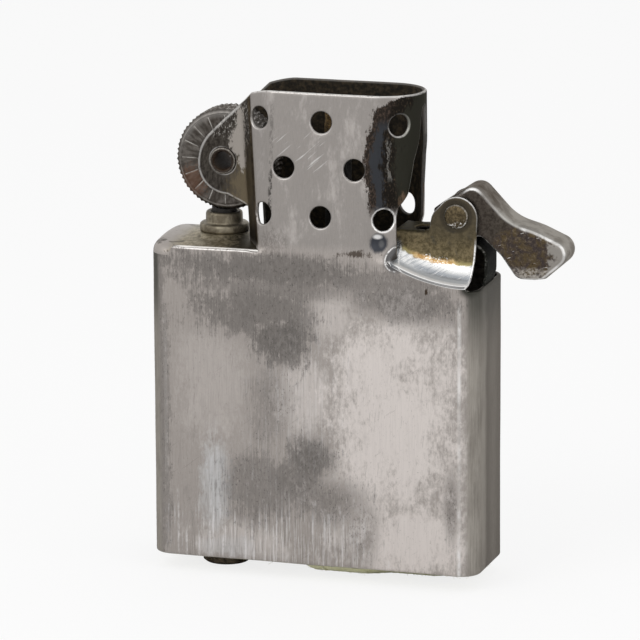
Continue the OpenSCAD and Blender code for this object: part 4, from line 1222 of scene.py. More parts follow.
def wheel_finish():
    look = bpy.context.scene.insert_colours
    f = Finish("file_wheel_steel")
    up = f.facing("Z")
    far = f.far(WHEEL_X, WHEEL_Z)
    turn = up.maths("ARCTAN2", f.z - WHEEL_Z, f.x - WHEEL_X) / LINE_TURN
    line = abs(turn.maths("FRACT", turn + 0.5) - 0.5) * far * LINE_TURN
    grit = f.noise(3, 6, 0.7, shift=6)
    cloud = f.noise(0.6, 5, 0.7, 0.4, shift=4)
    ground = f.noise_at(f.point(turn * 4, far * 0.8, f.y * 0.2), 4)
    rust = f.spot(WHEEL_X - 3.6, WHEEL_Z - 2.6, 1.4, 1.6, 0.5 + (grit - 0.5) * 2.5, 0.5)
    # Painted highlights along the lines on the faces, round the bevel's rim and on the tooth tips, these
    # brightest where they face up
    bright = line.ramp(0.08, 0.03) * far.ramp(3.05, 3.2) * far.ramp(4.75, 4.65) * 0.9
    rim = abs(far - 4.92).ramp(0.07, 0.02) * 0.45
    tips = far.ramp(5.2, 5.38) * grit.ramp(0.46, 0.58) * (0.2 + 0.5 * up.ramp(0.1, 0.6))
    shine = bright.most(rim) * (0.3 + 0.7 * cloud.ramp(0.4, 0.6)) * (0.6 + 0.4 * grit.ramp(0.4, 0.55))
    colour = f.coats(
        f.mix(ground.ramp(0.35, 0.65), (0.06, 0.053, 0.046), (0.135, 0.122, 0.11)),
        ((cloud + grit * 0.5).ramp(0.7, 0.95) * 0.6, (0.035, 0.028, 0.022)),
        # painted highlight on the upper part of the outer band
        (far.ramp(4.2, 4.9) * f.z.ramp(WHEEL_Z, WHEEL_Z + 3) * 0.35, (0.4, 0.38, 0.36)),
        (far.ramp(5.05, 5.25) * 0.6, (0.03, 0.025, 0.021)),
        (rust * 0.6, (0.12, 0.06, 0.036)),
        (shine, (0.42, 0.4, 0.375)),
        (tips, look.bright),
    )
    return f.done(colour, 0.4 + 0.25 * grit, 0.95, grit, 0.025, specular_tint=(0.5, 0.46, 0.42))


def rivet_head(f, far, grit, inner, face):
    """The colour of a rivet's head, which has a dull face and a lighter ring that is a painted highlight."""
    ring = far.ramp(inner + 0.12, inner + 0.18) * far.ramp(inner + 0.32, inner + 0.26)
    colour = f.mix(grit.ramp(0.4, 0.65), tuple(c * 0.35 for c in face), face)
    return f.mix(ring * (0.3 + 0.6 * grit.ramp(0.4, 0.6)), colour, (0.3, 0.28, 0.25))


def hollow_rivet_finish():
    """The wheel's rivet, with its bore painted dark as shade."""
    f = Finish("hollow_rivet_steel")
    far = f.far(WHEEL_X, WHEEL_Z)
    grit = f.noise(3.5, 6, 0.7, shift=6)
    bore = far.ramp(1.08, 1.02)
    colour = f.mix(bore, rivet_head(f, far, grit, 1.1, (0.07, 0.055, 0.045)), (0.045, 0.03, 0.02))
    return f.done(colour, 0.4 + 0.3 * grit, 0.95 * (1 - bore), grit, 0.04, specular_ior_level=0.05,
                  specular_tint=(0.5, 0.45, 0.4))


def cam_rivet_finish():
    """The cam's rivet, with bright flecks along its lower edge."""
    look = bpy.context.scene.insert_colours
    f = Finish("cam_rivet_steel")
    far = f.far(PIVOT_X, PIVOT_Z)
    grit = f.noise(3.5, 6, 0.7, shift=6)
    below = PIVOT_Z - f.z + (f.x - PIVOT_X) * 0.3
    low = below.ramp(0.45, 0.8) * grit.ramp(0.5, 0.58) * far.ramp(1.35, 1.2)
    colour = f.mix(low * 0.8, rivet_head(f, far, grit, 1.0, (0.15, 0.115, 0.065)), look.shine)
    return f.done(colour, 0.3 + 0.25 * grit, 0.95, grit, 0.04)


def cam_finish():
    """Brown cheeks with a corroded patch on the toe, and a lighter web with painted highlights along its
    bends.
    """
    look = bpy.context.scene.insert_colours
    f = Finish("cam_steel")
    grit = f.noise(2.4, 7, 0.72, shift=6)
    pits = f.noise(3.4, 6, 0.75, 0.8, shift=9)
    cloud = f.noise(0.6, 5, 0.6, 0.4, shift=4)
    hue = f.noise(0.9, 4, 0.6, 0.5, shift=7)
    side = abs(f.facing("Y"))
    across = f.x - PIVOT_X
    web = f.coats(
        f.mix(cloud.ramp(0.35, 0.65), (0.09, 0.078, 0.066), (0.19, 0.175, 0.158)),
        (across.ramp(3.2, 5.2) * (0.5 + 0.5 * cloud.ramp(0.4, 0.6)), (0.34, 0.325, 0.3)),
        (across.ramp(1.0, -0.5) * 0.7, (0.06, 0.05, 0.042)),
    )
    rag = 0.5 + (grit - 0.5) * 0.6 + (cloud - 0.5) * 1.1
    margin = f.spot(PIVOT_X + 9.6, PIVOT_Z - 3.9, 3.6, 3.9, rag, 0.3)
    patch = f.spot(PIVOT_X + 7.6, PIVOT_Z - 3.8, 2.5, 2.45, rag, 0.1)
    patch = patch.most(f.spot(PIVOT_X + 5.8, PIVOT_Z - 2.2, 1.9, 1.3, rag, 0.3))
    dashes = f.slanted(20, 4.5, 0.8).ramp(0.66, 0.7) * pits.ramp(0.4, 0.5)
    rust = f.coats(
        f.mix(hue.ramp(0.4, 0.6), (0.042, 0.032, 0.03), (0.078, 0.056, 0.028)),
        (pits.ramp(0.52, 0.64) * 0.7, (0.165, 0.13, 0.092)),
        (pits.ramp(0.43, 0.35) * 0.85, (0.018, 0.012, 0.007)),
        (dashes * 0.8, look.bright),
    )
    pale = f.spot(PIVOT_X + 7.4, PIVOT_Z - 5.9, 2.2, 0.8, rag) * pits.ramp(0.4, 0.6)
    cheek = f.coats(
        f.mix(grit.ramp(0.35, 0.65), (0.036, 0.029, 0.024), (0.078, 0.066, 0.055)),
        (margin * 0.85, (0.32, 0.3, 0.275)),
        (patch, rust),
        (pale * 0.8, (0.42, 0.39, 0.35)),
    )
    # Painted highlights along the bends between web and cheeks, strongest near the peak and towards the toe,
    # and edges painted bright as wear and as highlights
    bend = side.ramp(0.5, 0.72) * side.ramp(0.97, 0.82)
    lit = across.ramp(0.2, 1.0) * across.ramp(2.8, 1.8) * 0.8
    lit = lit.most(across.ramp(6.2, 7.2) * 0.72).most(0.12)
    wear_and_highlight = f.attribute("edge").ramp(0.26, 0.1) * grit.ramp(0.45, 0.58) * 0.6
    colour = f.coats(
        f.mix(side.ramp(0.75, 0.9), web, cheek),
        (bend * lit * (0.55 + 0.45 * cloud.ramp(0.4, 0.55)), look.shine),
        (wear_and_highlight, look.bright),
    )
    return f.done(colour, 0.3 + 0.3 * grit, 0.95 - 0.5 * patch, grit * 0.5 + pits * 0.5, 0.03,
                  specular_tint=(0.6, 0.56, 0.52), specular_ior_level=0.3)


def leaf_finish():
    f = Finish("leaf_spring_steel")
    grit = f.noise(2.5, 6, 0.7, shift=6)
    colour = f.mix(grit.ramp(0.4, 0.65), (0.012, 0.013, 0.011), (0.04, 0.04, 0.034))
    # Edges painted lighter as wear and as highlights
    wear_and_highlight = f.attribute("edge").ramp(0.2, 0.05) * grit.ramp(0.5, 0.6) * 0.35
    colour = f.mix(wear_and_highlight, colour, (0.3, 0.29, 0.27))
    return f.done(colour, 0.5 + 0.25 * grit, 0.5, grit, 0.02, specular_tint=(0.2, 0.2, 0.18),
                  specular_ior_level=0.1)


def lathe_finish(name, light, dark, rough, metallic=1.0):
    """Turned or pressed metal with tarnish in patches and fine scratches."""
    f = Finish(name)
    patch = f.noise(0.9, 6, 0.65, 0.6, shift=5)
    fine = f.noise(9, 4, 0.6)
    colour = f.mix(patch.ramp(0.38, 0.62), light, dark)
    colour = f.mix(fine.ramp(0.6, 0.75) * 0.4, colour, light)
    return f.done(colour, rough + 0.2 * patch, metallic, fine * 0.5 + patch * 0.5, 0.02)


def felt_finish():
    look = bpy.context.scene.insert_colours
    f = Finish("pressed_wool_felt")
    fibre = f.noise((7, 7, 12), 6, 0.75, 1.5)
    patch = f.noise(0.35, 4, 0.6, shift=4)
    colour = f.mix(fibre.ramp(0.35, 0.65), look.felt_dark, look.felt)
    colour = f.mix(patch.ramp(0.45, 0.65) * 0.5, colour, look.felt_dark)
    return f.done(colour, 0.95, 0.0, fibre, 0.06, sheen_weight=0.35)


def cotton_finish():
    f = Finish("packing_cotton")
    fibre = f.noise((3, 3, 5), 7, 0.75, 2.0)
    colour = f.mix(fibre.ramp(0.3, 0.7), (0.55, 0.5, 0.4), (0.82, 0.79, 0.71))
    return f.done(colour, 0.95, 0.0, fibre, 0.12, sheen_weight=0.3)


def wick_finish():
    f = Finish("braided_wick")
    fibre = f.noise((6, 6, 9), 6, 0.7, 1.0)
    char = (f.z + fibre * 3).ramp(34, 38)
    colour = f.coats(
        f.mix(fibre.ramp(0.3, 0.7), (0.35, 0.3, 0.2), (0.66, 0.6, 0.47)),
        (char, (0.015, 0.013, 0.011)),
        (f.z.ramp(46.6, 47.4) * fibre.ramp(0.42, 0.55), (0.3, 0.19, 0.075)),
    )
    return f.done(colour, 0.9, 0.0, fibre, 0.05)


class CaseSizes(bpy.types.PropertyGroup):
    """Sizes of the sheet metal"""

    sheet: FloatProperty(name="Sheet", description="Thickness of the sheet", default=0.00045, unit="LENGTH")
    hole: FloatProperty(name="Air hole", description="Diameter of the air holes", default=0.00225,
                        unit="LENGTH")
    grid: FloatProperty(name="Grid", description="Spacing of the mesh points", default=0.00045,
                        unit="LENGTH")
    dent: FloatProperty(name="Dents", description="How far the metal is out of flat", default=0.00004,
                        unit="LENGTH")


class Colours(bpy.types.PropertyGroup):
    """Colours of the finishes"""

    steel: FloatVectorProperty(name="Steel", description="Clean brushed metal", default=(0.66, 0.61, 0.58),
                               size=3, subtype="COLOR")
    steel_mid: FloatVectorProperty(name="Dull steel", description="Dulled brushed metal",
                                   default=(0.36, 0.328, 0.305), size=3, subtype="COLOR")
    steel_dark: FloatVectorProperty(name="Dark steel", description="Dark lines of the brushing",
                                    default=(0.2, 0.183, 0.17), size=3, subtype="COLOR")
    # Also used for painted highlights along edges and on the wheel's tooth tips
    bright: FloatVectorProperty(name="Worn edge", description="Metal worn along its edges",
                                default=(0.64, 0.62, 0.6), size=3, subtype="COLOR")
    # Also used for painted highlights and reflections: the corner line, the lip lines, hole rims, glints and
    # the cam's bends
    shine: FloatVectorProperty(name="Shine", description="Polished and freshly scratched metal",
                               default=(0.9, 0.89, 0.88), size=3, subtype="COLOR")
    felt: FloatVectorProperty(name="Felt", description="Lighter wool of the felt",
                              default=(0.75, 0.73, 0.42), size=3, subtype="COLOR")
    felt_dark: FloatVectorProperty(name="Dark felt", description="Darker wool of the felt",
                                   default=(0.42, 0.41, 0.22), size=3, subtype="COLOR")
    # Also used for the painted shade down the left front corner
    stain_and_shade: FloatVectorProperty(name="Stain", description="Grey stain on the case",
                               default=(0.105, 0.097, 0.09), size=3, subtype="COLOR")


class DetailSizes(bpy.types.PropertyGroup):
    """Sizes of the small details"""

    teeth: IntProperty(name="Teeth", description="Number of teeth round the wheel", default=64)
    tooth: FloatProperty(name="Tooth depth", description="Depth of the wheel's teeth", default=0.00018,
                         unit="LENGTH")
    groove: FloatProperty(name="Groove depth", description="Depth of the lines on the wheel's faces",
                          default=0.00004, unit="LENGTH")
    strands: IntProperty(name="Strands", description="Strands round the wick in each direction", default=8)
    fibres: IntProperty(name="Fibres", description="Loose fibres on each half of the felt", default=500)
    pile: FloatProperty(name="Pile", description="Unevenness of the felt", default=0.00007, unit="LENGTH")


class StageSettings(bpy.types.PropertyGroup):
    """Light and floor"""

    key: FloatProperty(name="Key light", description="Power of the main lamp", default=0.35, unit="POWER")
    fill: FloatProperty(name="Fill light", description="Power of the side lamp", default=0.16, unit="POWER")
    sky: FloatProperty(name="Sky", description="Strength of the light from all sides", default=0.75,
                       subtype="FACTOR", min=0, max=1)


class INSERT_OT_case(bpy.types.Operator):
    """Makes the case, the shoulder plate, the chimney and the saddle as one sheet-metal piece"""

    bl_idname = "insert.case"
    bl_label = "Case"

    def execute(self, context):
        sizes = context.scene.insert_case
        step = sizes.grid / MM
        metal = Sheet(sizes.sheet / MM)
        metal.add(body_pattern(step, False), body_place, step, 0, (1,))
        metal.add(body_pattern(step, True), body_place, step, 0, (-1,))
        metal.add(deck_pattern(step), bent(deck_bend), step, 1)
        metal.add(saddle_pattern(step), bent(saddle_bend), step, 2)
        mesh = metal.welded()
        dented(mesh, sizes.dent / MM, 6, 3)
        dimple(mesh)
        finishes = [wall_finish(), deck_finish(), saddle_finish(), inside_finish()]
        piece("case_shell", mesh, finishes, "insert", ["insert_case"])
        return {"FINISHED"}


class INSERT_OT_wheel(bpy.types.Operator):
    """Makes the file wheel, with its ragged teeth and the lines on its faces"""

    bl_idname = "insert.wheel"
    bl_label = "File wheel"

    def execute(self, context):
        sizes = context.scene.insert_detail
        teeth, depth, groove = sizes.teeth, sizes.tooth / MM, sizes.groove / MM
        face, rim, outer = 1.8, 1.46, 5.42
        half = [(1.25, 0), (1.25, face - 0.08), (1.33, face)]
        half += [(r, face) for r in (*np.arange(1.7, 3.2, 0.5), 3.2, 3.5, 4.0, 4.5, 4.66)]
        half += [(4.7, face - 0.05), (4.78, face - 0.06), (4.86, face - 0.05), (4.9, face - 0.01)]
        half += [(5.0, face - 0.03), (5.1, face - 0.09), (5.22, face - 0.22), (outer, rim - 0.05)]
        half += [(outer, h) for h in np.arange(rim - 0.3, -0.01, -0.24)]

        def shape(a, r, h):
            if r > 5.15:
                swing = a * teeth / TURN + abs(h) * 0.35
                tooth = 1 - abs(2 * (swing % 1) - 1)
                ragged = noise.noise(Vector((math.cos(a) * 9, math.sin(a) * 9, h * 1.5)))
                r -= depth * (0.25 + tooth**0.7 * (0.9 + 0.5 * ragged)) * (1 if r > 5.3 else 0.5) - 0.03
            elif r > 3.1 and abs(h) > 1.7 and r < 4.68:
                gap = (a / LINE_TURN + 0.5) % 1 - 0.5
                h -= math.copysign(groove * smooth(0.026, 0.01, abs(gap) * r / 16), h)
            return r, h

        mesh = turned(mirrored(half), teeth * 12, (WHEEL_X, 0, WHEEL_Z), shape=shape)
        piece("file_wheel", mesh, wheel_finish(), "wheel", ["flint_wheel"], sharp=40)
        return {"FINISHED"}


class INSERT_OT_rivets(bpy.types.Operator):
    """Makes the hollow rivet of the wheel and the domed rivet of the cam"""

    bl_idname = "insert.rivets"
    bl_label = "Rivets"

    def execute(self, context):
        rolled = [(1.0, 2.35), (1.0, 2.52), (1.06, 2.61), (1.18, 2.65), (1.3, 2.62), (1.41, 2.54),
                  (1.45, 2.45), (1.44, 2.42), (1.2, 2.42), (1.2, 1.2)]
        mesh = turned(mirrored(rolled), 96, (WHEEL_X, 0, WHEEL_Z))
        piece("hollow_rivet", mesh, hollow_rivet_finish(), "insert", ["wheel_rivet"], sharp=50)
        head = [(0, 3.12), (0.35, 3.115), (0.65, 3.09), (0.9, 3.04), (1.08, 2.96), (1.2, 2.87), (1.27, 2.79),
                (1.29, 2.74), (1.27, 2.71), (0.85, 2.71), (0.85, 1.4)]

        def hammered(a, r, h):
            bump = noise.noise(Vector((r * math.cos(a) * 1.6, r * math.sin(a) * 1.6, h)))
            return r * (1 + 0.02 * bump), h + (0.03 * bump if h > 2.75 else 0)

        mesh = turned(mirrored(head), 72, (PIVOT_X, 0, PIVOT_Z), closed=False, shape=hammered)
        piece("cam_pin", mesh, cam_rivet_finish(), "insert", ["cam_rivet"])
        return {"FINISHED"}


# Corners of the cam's web about its pivot, each with its radius, and the toe's lower end
CAM_WEB = ((-3.4, 0.01, 0), (1.72, 3.5, 1.4), (5.42, -0.4, 5), (8.3, -1.2, 8), (12.78, -3.13, 1.49),
           (8.3, -7.07, 0))
TOE_LOW = -6.35


def cam_lines(edge):
    """The cam's outline about its pivot: points along the web, their outward ways, how much shorter the web
    is in the middle, and the cheek's lower line."""
    line = rounded(CAM_WEB, 0.25)
    web = [Vector(p) for a, b in zip(line, line[1:]) for p in run(a, b, 0.25)]
    ways = [Vector((-along.y, along.x)) for along in headings(web)]
    heights = [p.y - w.y * edge for p, w in zip(web, ways)]
    keep = [i for i, p in enumerate(web) if p.x > -2.9 and heights[i] > TOE_LOW]
    last = keep[-1]
    share = (heights[last] - TOE_LOW) / (heights[last] - heights[last + 1])
    end = web[last].lerp(web[last + 1], share)
    slope = (web[last] - web[last + 1]).normalized()
    web, ways = [web[i] for i in keep] + [end], [ways[i] for i in keep] + [ways[last]]
    foot = end - ways[-1] * edge
    corners = [(foot.x, TOE_LOW, 0), (6.3, TOE_LOW, 1.2), (4.6, -4, 2), (2.1, -1.8, 0.6), (1.5, -2.9, 0.3),
               (-2.9, -2.9, 0.8), (-2.9, 0, 0)]
    under = rounded(corners, 0.12)
    return web, ways, (TOE_LOW - end.y) / slope.y, under[1:-1]


class INSERT_OT_cam(bpy.types.Operator):
    """Makes the lid cam as a bent channel of sheet metal"""

    bl_idname = "insert.cam"
    bl_label = "Lid cam"

    def execute(self, context):
        half_w, edge, sheet, step = 2.1, 0.62, 0.6, 0.3
        web, ways, short, under = cam_lines(edge)
        flat = half_w - edge
        high = flat + edge * QUARTER
        lengths, at = lengths_along(web)

        def strip(t, v):
            i, share = at(t)
            point, way = web[i].lerp(web[i + 1], share), ways[i].lerp(ways[i + 1], share)
            a = max(0, -v - flat) / edge
            point = point - way.normalized() * edge * (1 - math.cos(a))
            return Vector((PIVOT_X + point.x, max(v, -flat) - edge * math.sin(a), PIVOT_Z + point.y))

        end = lengths[-1]
        cut = [(end - short * math.sin(k * QUARTER / 6), -high + edge * k * QUARTER / 6) for k in range(6)]
        seam = run((end - short, 0), (0, 0), step)
        rim = cut + run((end - short, -flat), (end - short, 0), step)
        chunks = [([(t, -high) for t in lengths[:-1]], True), (rim, False), (seam, True),
                  (run((0, 0), (0, -high), step), False)]
        bends = [(t, -flat - edge * QUARTER * k / 6) for t in lengths[1:-1] for k in range(6)]
        metal = Sheet(sheet)
        metal.add((chunks, [], bends), bent(strip), step)
        inner = [tuple(p - w * edge) for p, w in zip(web, ways)]
        lower = under[::-1]
        chunks = [(run(inner[0], lower[0], step) + lower, False), (inner[:0:-1], True)]
        pin = arc((0, 0), 0.9, 0, -TURN, 0.2)
        cheek = bent(lambda x, z: Vector((PIVOT_X + x, -half_w, PIVOT_Z + z)))
        metal.add((chunks, [pin], []), cheek, step)
        finishes = [cam_finish()] * (INSIDE + 1)
        piece("lid_cam_channel", metal.welded(0.05), finishes, "lid_cam", ["cam"])
        return {"FINISHED"}


class INSERT_OT_cam_leaf(bpy.types.Operator):
    """Makes the leaf spring that stands on the end wall and bears on the cam"""

    bl_idname = "insert.cam_leaf"
    bl_label = "Cam spring"

    def execute(self, context):
        bends = [(17.3, 24.4, 0), (17.32, 31.2, 1.5), (17.85, 33.0, 2), (17.85, 36.33, 1.6),
                 (12.3, 36.33, 0.6), (11.7, 35.5, 0)]
        line = rounded(bends, 0.2)
        path = [Vector(p) for a, b in zip(line, line[1:]) for p in run(a, b, 0.25)]
        lengths, at = lengths_along(path)

        def leaf(v, t):
            i, share = at(t)
            point = path[i].lerp(path[i + 1], share)
            return Vector((point.x, v, point.y))

        half, end = 1.95, lengths[-1]
        chunks = [(run((-half, 0), (0, 0), 0.3), False), (run((0, 0), (0, end), 0.3), True),
                  (run((0, end), (-half, end), 0.3) + run((-half, end), (-half, 0), 0.3), False)]
        metal = Sheet(0.3)
        metal.add((chunks, [], []), bent(leaf, 0.2), 0.3)
        finishes = [leaf_finish()] * (INSIDE + 1)
        piece("cam_leaf", metal.welded(), finishes, "insert", ["cam_spring"])
        return {"FINISHED"}


class INSERT_OT_flint_feed(bpy.types.Operator):
    """Makes the flint tube with its two collars, and finishes the pieces inside it and under it"""

    bl_idname = "insert.flint_feed"
    bl_label = "Flint feed"

    def execute(self, context):
        collar = SHOULDER_Z + 0.82
        flange = [(1.95, -0.4), (1.95, 0), (2.5, 0), (2.58, 0.06), (2.6, 0.2), (2.6, 0.55), (2.56, 0.72),
                  (2.45, 0.82), (2.2, 0.86), (1.99, 0.9), (1.96, 1.1)]
        profile = [(1.35, 1.3), (1.9, 1.3), (1.95, 1.4)]
        profile += [(r, collar + h) for r, h in flange]
        profile += [(1.95, 37.6), (1.9, 37.78), (1.78, 37.88), (1.6, 37.9), (1.42, 37.87), (1.35, 37.78)]

        def worn(a, r, h):
            bump = noise.noise(Vector((math.cos(a) * 1.5, math.sin(a) * 1.5, h * 0.9)))
            return (r - 0.02 + 0.02 * bump if r > 1.5 else r), h

        mesh = turned(profile, 96, (TUBE_X, 0, 0), axis="Z", shape=worn)
        finish = lathe_finish("tube_brass", (0.25, 0.22, 0.165), (0.13, 0.11, 0.08), 0.4)
        piece("flint_tube_turned", mesh, finish, "insert", ["flint_tube"])
        finishes = {
            "flint": lathe_finish("flint_alloy", (0.05, 0.045, 0.04), (0.02, 0.017, 0.015), 0.6, 0.4),
            "flint_spring_tip": lathe_finish("tip_brass", (0.6, 0.45, 0.2), (0.4, 0.28, 0.1), 0.3),
            "flint_screw": lathe_finish("screw_brass", (0.1, 0.08, 0.06), (0.025, 0.02, 0.016), 0.4),
            "wick_wire": lathe_finish("wick_copper", (0.6, 0.33, 0.2), (0.35, 0.17, 0.1), 0.35),
        }
        for node, finish in finishes.items():
            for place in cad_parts[node].material_slots:
                place.material = finish
        self.spring()
        return {"FINISHED"}

    def spring(self):
        """The coil spring under the flint's tip."""
        low, high = (corner[2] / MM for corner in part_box("flint_spring"))
        count = COIL_TURNS * COIL_STEPS
        path = []
        for k in range(count + 1):
            a = TURN * k / COIL_STEPS
            z = lerp(low + COIL_WIRE, high - COIL_WIRE, k / count)
            path.append(Vector((TUBE_X + COIL_R * math.cos(a), COIL_R * math.sin(a), z)))
        mesh = bmesh.new()
        tube(mesh, path, [COIL_WIRE] * len(path), 8)
        finish = lathe_finish("feed_spring_steel", (0.45, 0.45, 0.46), (0.25, 0.24, 0.23), 0.3)
        coil = piece("feed_spring", mesh, finish, "spring_carrier", ["flint_spring"])
        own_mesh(coil)


def wick_path():
    """The wick's middle line: straight in the chimney, and winding between the cotton balls below it."""
    path = []
    for z in np.arange(5.1, 50.0, 0.16):
        x = WICK_X if z > 34.3 else WICK_X + 1.3 * math.sin(math.pi * (34.3 - z) / 9.82)
        path.append(Vector((x, 0, z)))
    return path


class INSERT_OT_wick(bpy.types.Operator):
    """Makes the braided wick with its frayed and charred end"""

    bl_idname = "insert.wick"
    bl_label = "Wick"

    def execute(self, context):
        strands = context.scene.insert_detail.strands
        path, mesh, sides = wick_path(), bmesh.new(), 72
        rings = []
        for p, way in zip(path, headings(path)):
            u = Vector((0, 1, 0))
            v = way.cross(u)
            ring = []
            for k in range(sides):
                a = TURN * k / sides
                over = math.cos(strands * a + p.z * 2.6)
                under = math.cos(strands * a - p.z * 2.6)
                bump = noise.noise(p * 2 + Vector((math.cos(a), math.sin(a), 0)) * 3)
                r = 1.27 + 0.13 * max(over, under) + 0.03 * bump
                ring.append(mesh.verts.new(p + (v * math.cos(a) + u * math.sin(a)) * r))
            rings.append(ring)
        skin(mesh, rings)
        for ring, sign in ((rings[0], -1), (rings[-1], 1)):
            centre = sum((v.co for v in ring), Vector()) / sides
            middle = mesh.verts.new(centre + Vector((0, 0, 0.1 * sign)))
            for k in range(sides):
                mesh.faces.new((ring[k], ring[(k + 1) % sides], middle)[::sign])
        rng = random.Random(11)
        for _ in range(150):
            a, r = rng.uniform(0, TURN), 1.3 * math.sqrt(rng.random())
            foot = path[-1] + Vector((r * math.cos(a), r * math.sin(a), -0.25))
            lean = Vector((rng.gauss(0, 0.2), rng.gauss(0, 0.2), rng.uniform(0.15, 0.4)))
            bits = [
                foot + lean * t + Vector((math.sin(3 * t + a), math.cos(3 * t), 0)) * 0.05
                for t in (0, 0.35, 0.7, 1)
            ]
            tube(mesh, bits, [0.05, 0.045, 0.035, 0.015], 5)
        piece("braided_wick", mesh, wick_finish(), "insert", ["wick"])
        return {"FINISHED"}


class INSERT_OT_packing(bpy.types.Operator):
    """Makes the six pressed cotton balls round the wick"""

    bl_idname = "insert.packing"
    bl_label = "Packing"

    def execute(self, context):
        finish = cotton_finish()
        for number in range(1, 7):
            node = f"packing_ball_{number}"
            low, high = (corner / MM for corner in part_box(node))
            middle, half = (low + high) / 2, (high - low) / 2 - Vector((0.06, 0.06, 0.06))
            mesh = bmesh.new()
            bmesh.ops.create_cube(mesh, size=2)
            bmesh.ops.subdivide_edges(mesh, edges=mesh.edges, cuts=23, use_grid_fill=True)
            for v in mesh.verts:
                way = v.co.copy()
                size = sum(abs(c) ** 3.2 for c in way) ** (1 / 3.2)
                way /= size
                place = way * 1.3 + Vector((number * 7, 0, 0))
                folds = noise.ridged_multi_fractal(place, 0.9, 2.1, 4, 1.0, 2.0)
                way *= 1 - 0.07 * min(max(folds, 0), 2)
                v.co = middle + Vector((way.x * half.x, way.y * half.y, way.z * half.z))
            ball = piece(f"cotton_ball_{number}", mesh, finish, "insert", [node])
        return {"FINISHED"}


def felt_low_z(x, y):
    """Height of the felt's lower face, which bulges across and is higher towards its ends."""
    ends = 1.1 * (1 - smooth(-3, -0.2, x)) + 0.13 * smooth(4.8, 8, x) + 0.3 * smooth(11.5, 15, x)
    return y**2 / (2 * lerp(*FELT_R, smooth(4.5, 8, x))) + ends


class INSERT_OT_felt(bpy.types.Operator):
    """Makes the two halves of the felt, with an uneven face and loose fibres"""

    bl_idname = "insert.felt"
    bl_label = "Felt"

    def execute(self, context):
        sizes = context.scene.insert_detail
        finish = felt_finish()
        for number, (node, body) in enumerate((("felt_pad", "insert"), ("felt_flap", "flap"))):
            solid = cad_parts[node]
            copy = added("felt_base", solid.data.copy())
            remesh = copy.modifiers.new("remesh", "REMESH")
            remesh.mode, remesh.voxel_size = "VOXEL", 0.22 * MM
            data = bpy.data.meshes.new_from_object(copy.evaluated_get(context.evaluated_depsgraph_get()))
            bpy.data.objects.remove(copy)
            mesh = bmesh.new()
            mesh.from_mesh(data)
            bmesh.ops.scale(mesh, vec=(1 / MM,) * 3, verts=mesh.verts)
            mesh.normal_update()
            pile = sizes.pile / MM
            for v in mesh.verts:
                rough = noise.fractal(v.co * 1.6, 0.7, 2.0, 4) + 0.5 * noise.noise(v.co * 0.35)
                v.co += v.normal * (pile * rough - 0.05)
                if v.co.z < RIM_Z:
                    low = felt_low_z(v.co.x, v.co.y) + 0.6 * pile * rough
                    v.co.z = max(v.co.z, min(low, RIM_Z))
            self.fibres(mesh, sizes.fibres, number)
            half = piece(f"{node}_wool", mesh, finish, body, [node])
        return {"FINISHED"}

    def fibres(self, mesh, count, seed):
        rng = random.Random(21 + seed)
        roots = [(v.co.copy(), v.normal.copy()) for v in mesh.verts]
        for root, normal in rng.sample(roots, min(count, len(roots))):
            side = normal.orthogonal().normalized()
            side.rotate(Matrix.Rotation(rng.uniform(0, TURN), 3, normal))
            length, rise = rng.uniform(0.3, 0.9), rng.uniform(0.03, 0.14)
            bits = [
                root + side * length * t + normal * (rise * math.sin(math.pi * t) - 0.04)
                for t in (0, 0.3, 0.6, 1)
            ]
            tube(mesh, bits, [0.016, 0.014, 0.012, 0.006], 4)


CAMERA = {"target": (-0.770, 0, 26.743), "azimuth": 17.419, "elevation": 13.195, "roll": -0.275,
          "distance": 533.0, "focal": 5097.5}
FRAME_PX = 640
LOOK_AT = (0, 0, 25)
FLOOR_GAP = 0.02
# How much of the floor's own look gives way to white where the camera sees it
FLOOR_WHITE = 0.8


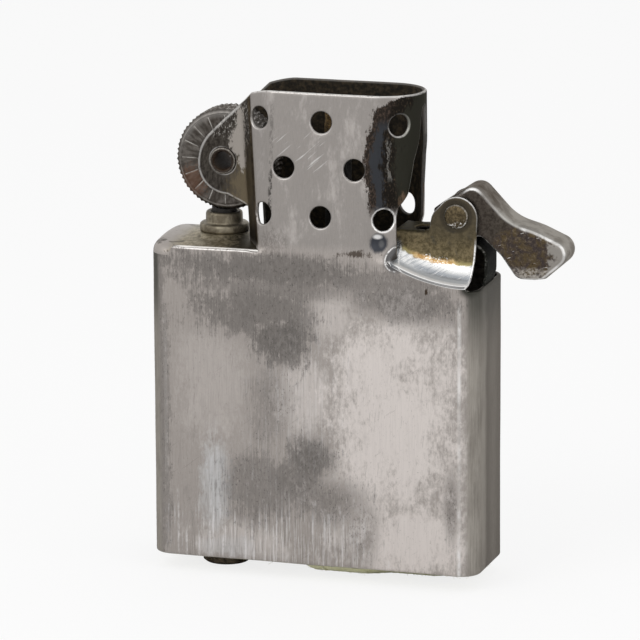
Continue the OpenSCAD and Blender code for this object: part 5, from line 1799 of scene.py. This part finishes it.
class INSERT_OT_stage(bpy.types.Operator):
    """Makes the camera, the lamps, the white surroundings and the pale floor"""

    bl_idname = "insert.stage"
    bl_label = "Stage"

    def execute(self, context):
        az, el, roll = (math.radians(CAMERA[k]) for k in ("azimuth", "elevation", "roll"))
        back = Vector((math.sin(az) * math.cos(el), -math.cos(az) * math.cos(el), math.sin(el)))
        right = Vector((math.cos(az), math.sin(az), 0))
        up = back.cross(right)
        right, up = right * math.cos(roll) + up * math.sin(roll), up * math.cos(roll) - right * math.sin(roll)
        data = bpy.data.cameras.new("photo_camera")
        data.sensor_width = 36
        data.lens = CAMERA["focal"] * data.sensor_width / FRAME_PX
        data.clip_start, data.clip_end = 0.01, 20
        camera = added("photo_camera", data)
        place = (Vector(CAMERA["target"]) + back * CAMERA["distance"]) * MM
        camera.matrix_world = Matrix.Translation(place) @ Matrix((right, up, back)).transposed().to_4x4()
        context.scene.camera = camera
        settings = context.scene.insert_stage
        lamps = (
            ("key", settings.key, (-140, -260, 260), 0.22),
            ("fill", settings.fill, (260, -120, 160), 0.3),
        )
        for name, power, spot, size in lamps:
            lamp = bpy.data.lights.new(name, "AREA")
            lamp.energy, lamp.size = power, size
            made = added(name, lamp)
            made.location = Vector(spot) * MM
            made.rotation_euler = (Vector(LOOK_AT) - Vector(spot)).to_track_quat("-Z", "Y").to_euler()
        world = bpy.data.worlds.new("studio")
        context.scene.world = world
        sky = Tree(world, "ShaderNodeOutputWorld")
        seen = sky.ray("Camera").most(sky.ray("Glossy")).most(sky.ray("Transmission"))
        soft, white = (
            sky.node("ShaderNodeBackground", {}, {"Color": (1, 1, 1), "Strength": strength})
            for strength in (settings.sky, 1)
        )
        sky.surface(seen, soft, white)
        self.floor()
        context.scene.view_settings.view_transform = "Standard"
        return {"FINISHED"}

    def floor(self):
        mesh = bmesh.new()
        bmesh.ops.create_circle(mesh, cap_ends=True, segments=96, radius=1.5)
        data = bpy.data.meshes.new("floor")
        mesh.to_mesh(data)
        mesh.free()
        floor = added("floor", data)
        floor.location.z = -FLOOR_GAP * MM
        f = Finish("pale_floor")
        f.done((0.9, 0.9, 0.9), 0.9, 0.0)
        white = f.node("ShaderNodeEmission", {}, {"Color": (1, 1, 1), "Strength": 1}, "Emission")
        f.surface(f.ray("Camera") * FLOOR_WHITE, f.shader.outputs[0], white)
        data.materials.append(f.material)


class INSERT_PT_panel(bpy.types.Panel):
    """Lists the pieces that the file makes"""

    bl_label = "Lighter insert"
    bl_idname = "INSERT_PT_panel"
    bl_space_type = "VIEW_3D"
    bl_region_type = "UI"
    bl_category = "Lighter insert"

    def draw(self, context):
        for group in GROUPS:
            box = self.layout.box()
            values = getattr(context.scene, group)
            for name in values.bl_rna.properties.keys():
                if name not in ("rna_type", "name"):
                    box.prop(values, name)
        for operator in OPERATORS:
            self.layout.operator(operator.bl_idname)


OPERATORS = (INSERT_OT_stage, INSERT_OT_case, INSERT_OT_wheel, INSERT_OT_rivets, INSERT_OT_cam,
             INSERT_OT_cam_leaf, INSERT_OT_flint_feed, INSERT_OT_wick, INSERT_OT_packing, INSERT_OT_felt)
GROUPS = {"insert_case": CaseSizes, "insert_detail": DetailSizes, "insert_colours": Colours,
          "insert_stage": StageSettings}


def register():
    for made in (*GROUPS.values(), *OPERATORS, INSERT_PT_panel):
        bpy.utils.register_class(made)
    for name, group in GROUPS.items():
        setattr(bpy.types.Scene, name, PointerProperty(type=group))


def unregister():
    for name in GROUPS:
        delattr(bpy.types.Scene, name)
    for made in reversed((*GROUPS.values(), *OPERATORS, INSERT_PT_panel)):
        bpy.utils.unregister_class(made)


def main():
    register()
    for operator in OPERATORS:
        getattr(bpy.ops.insert, operator.bl_idname.split(".")[1])()


if __name__ == "__main__":
    main()
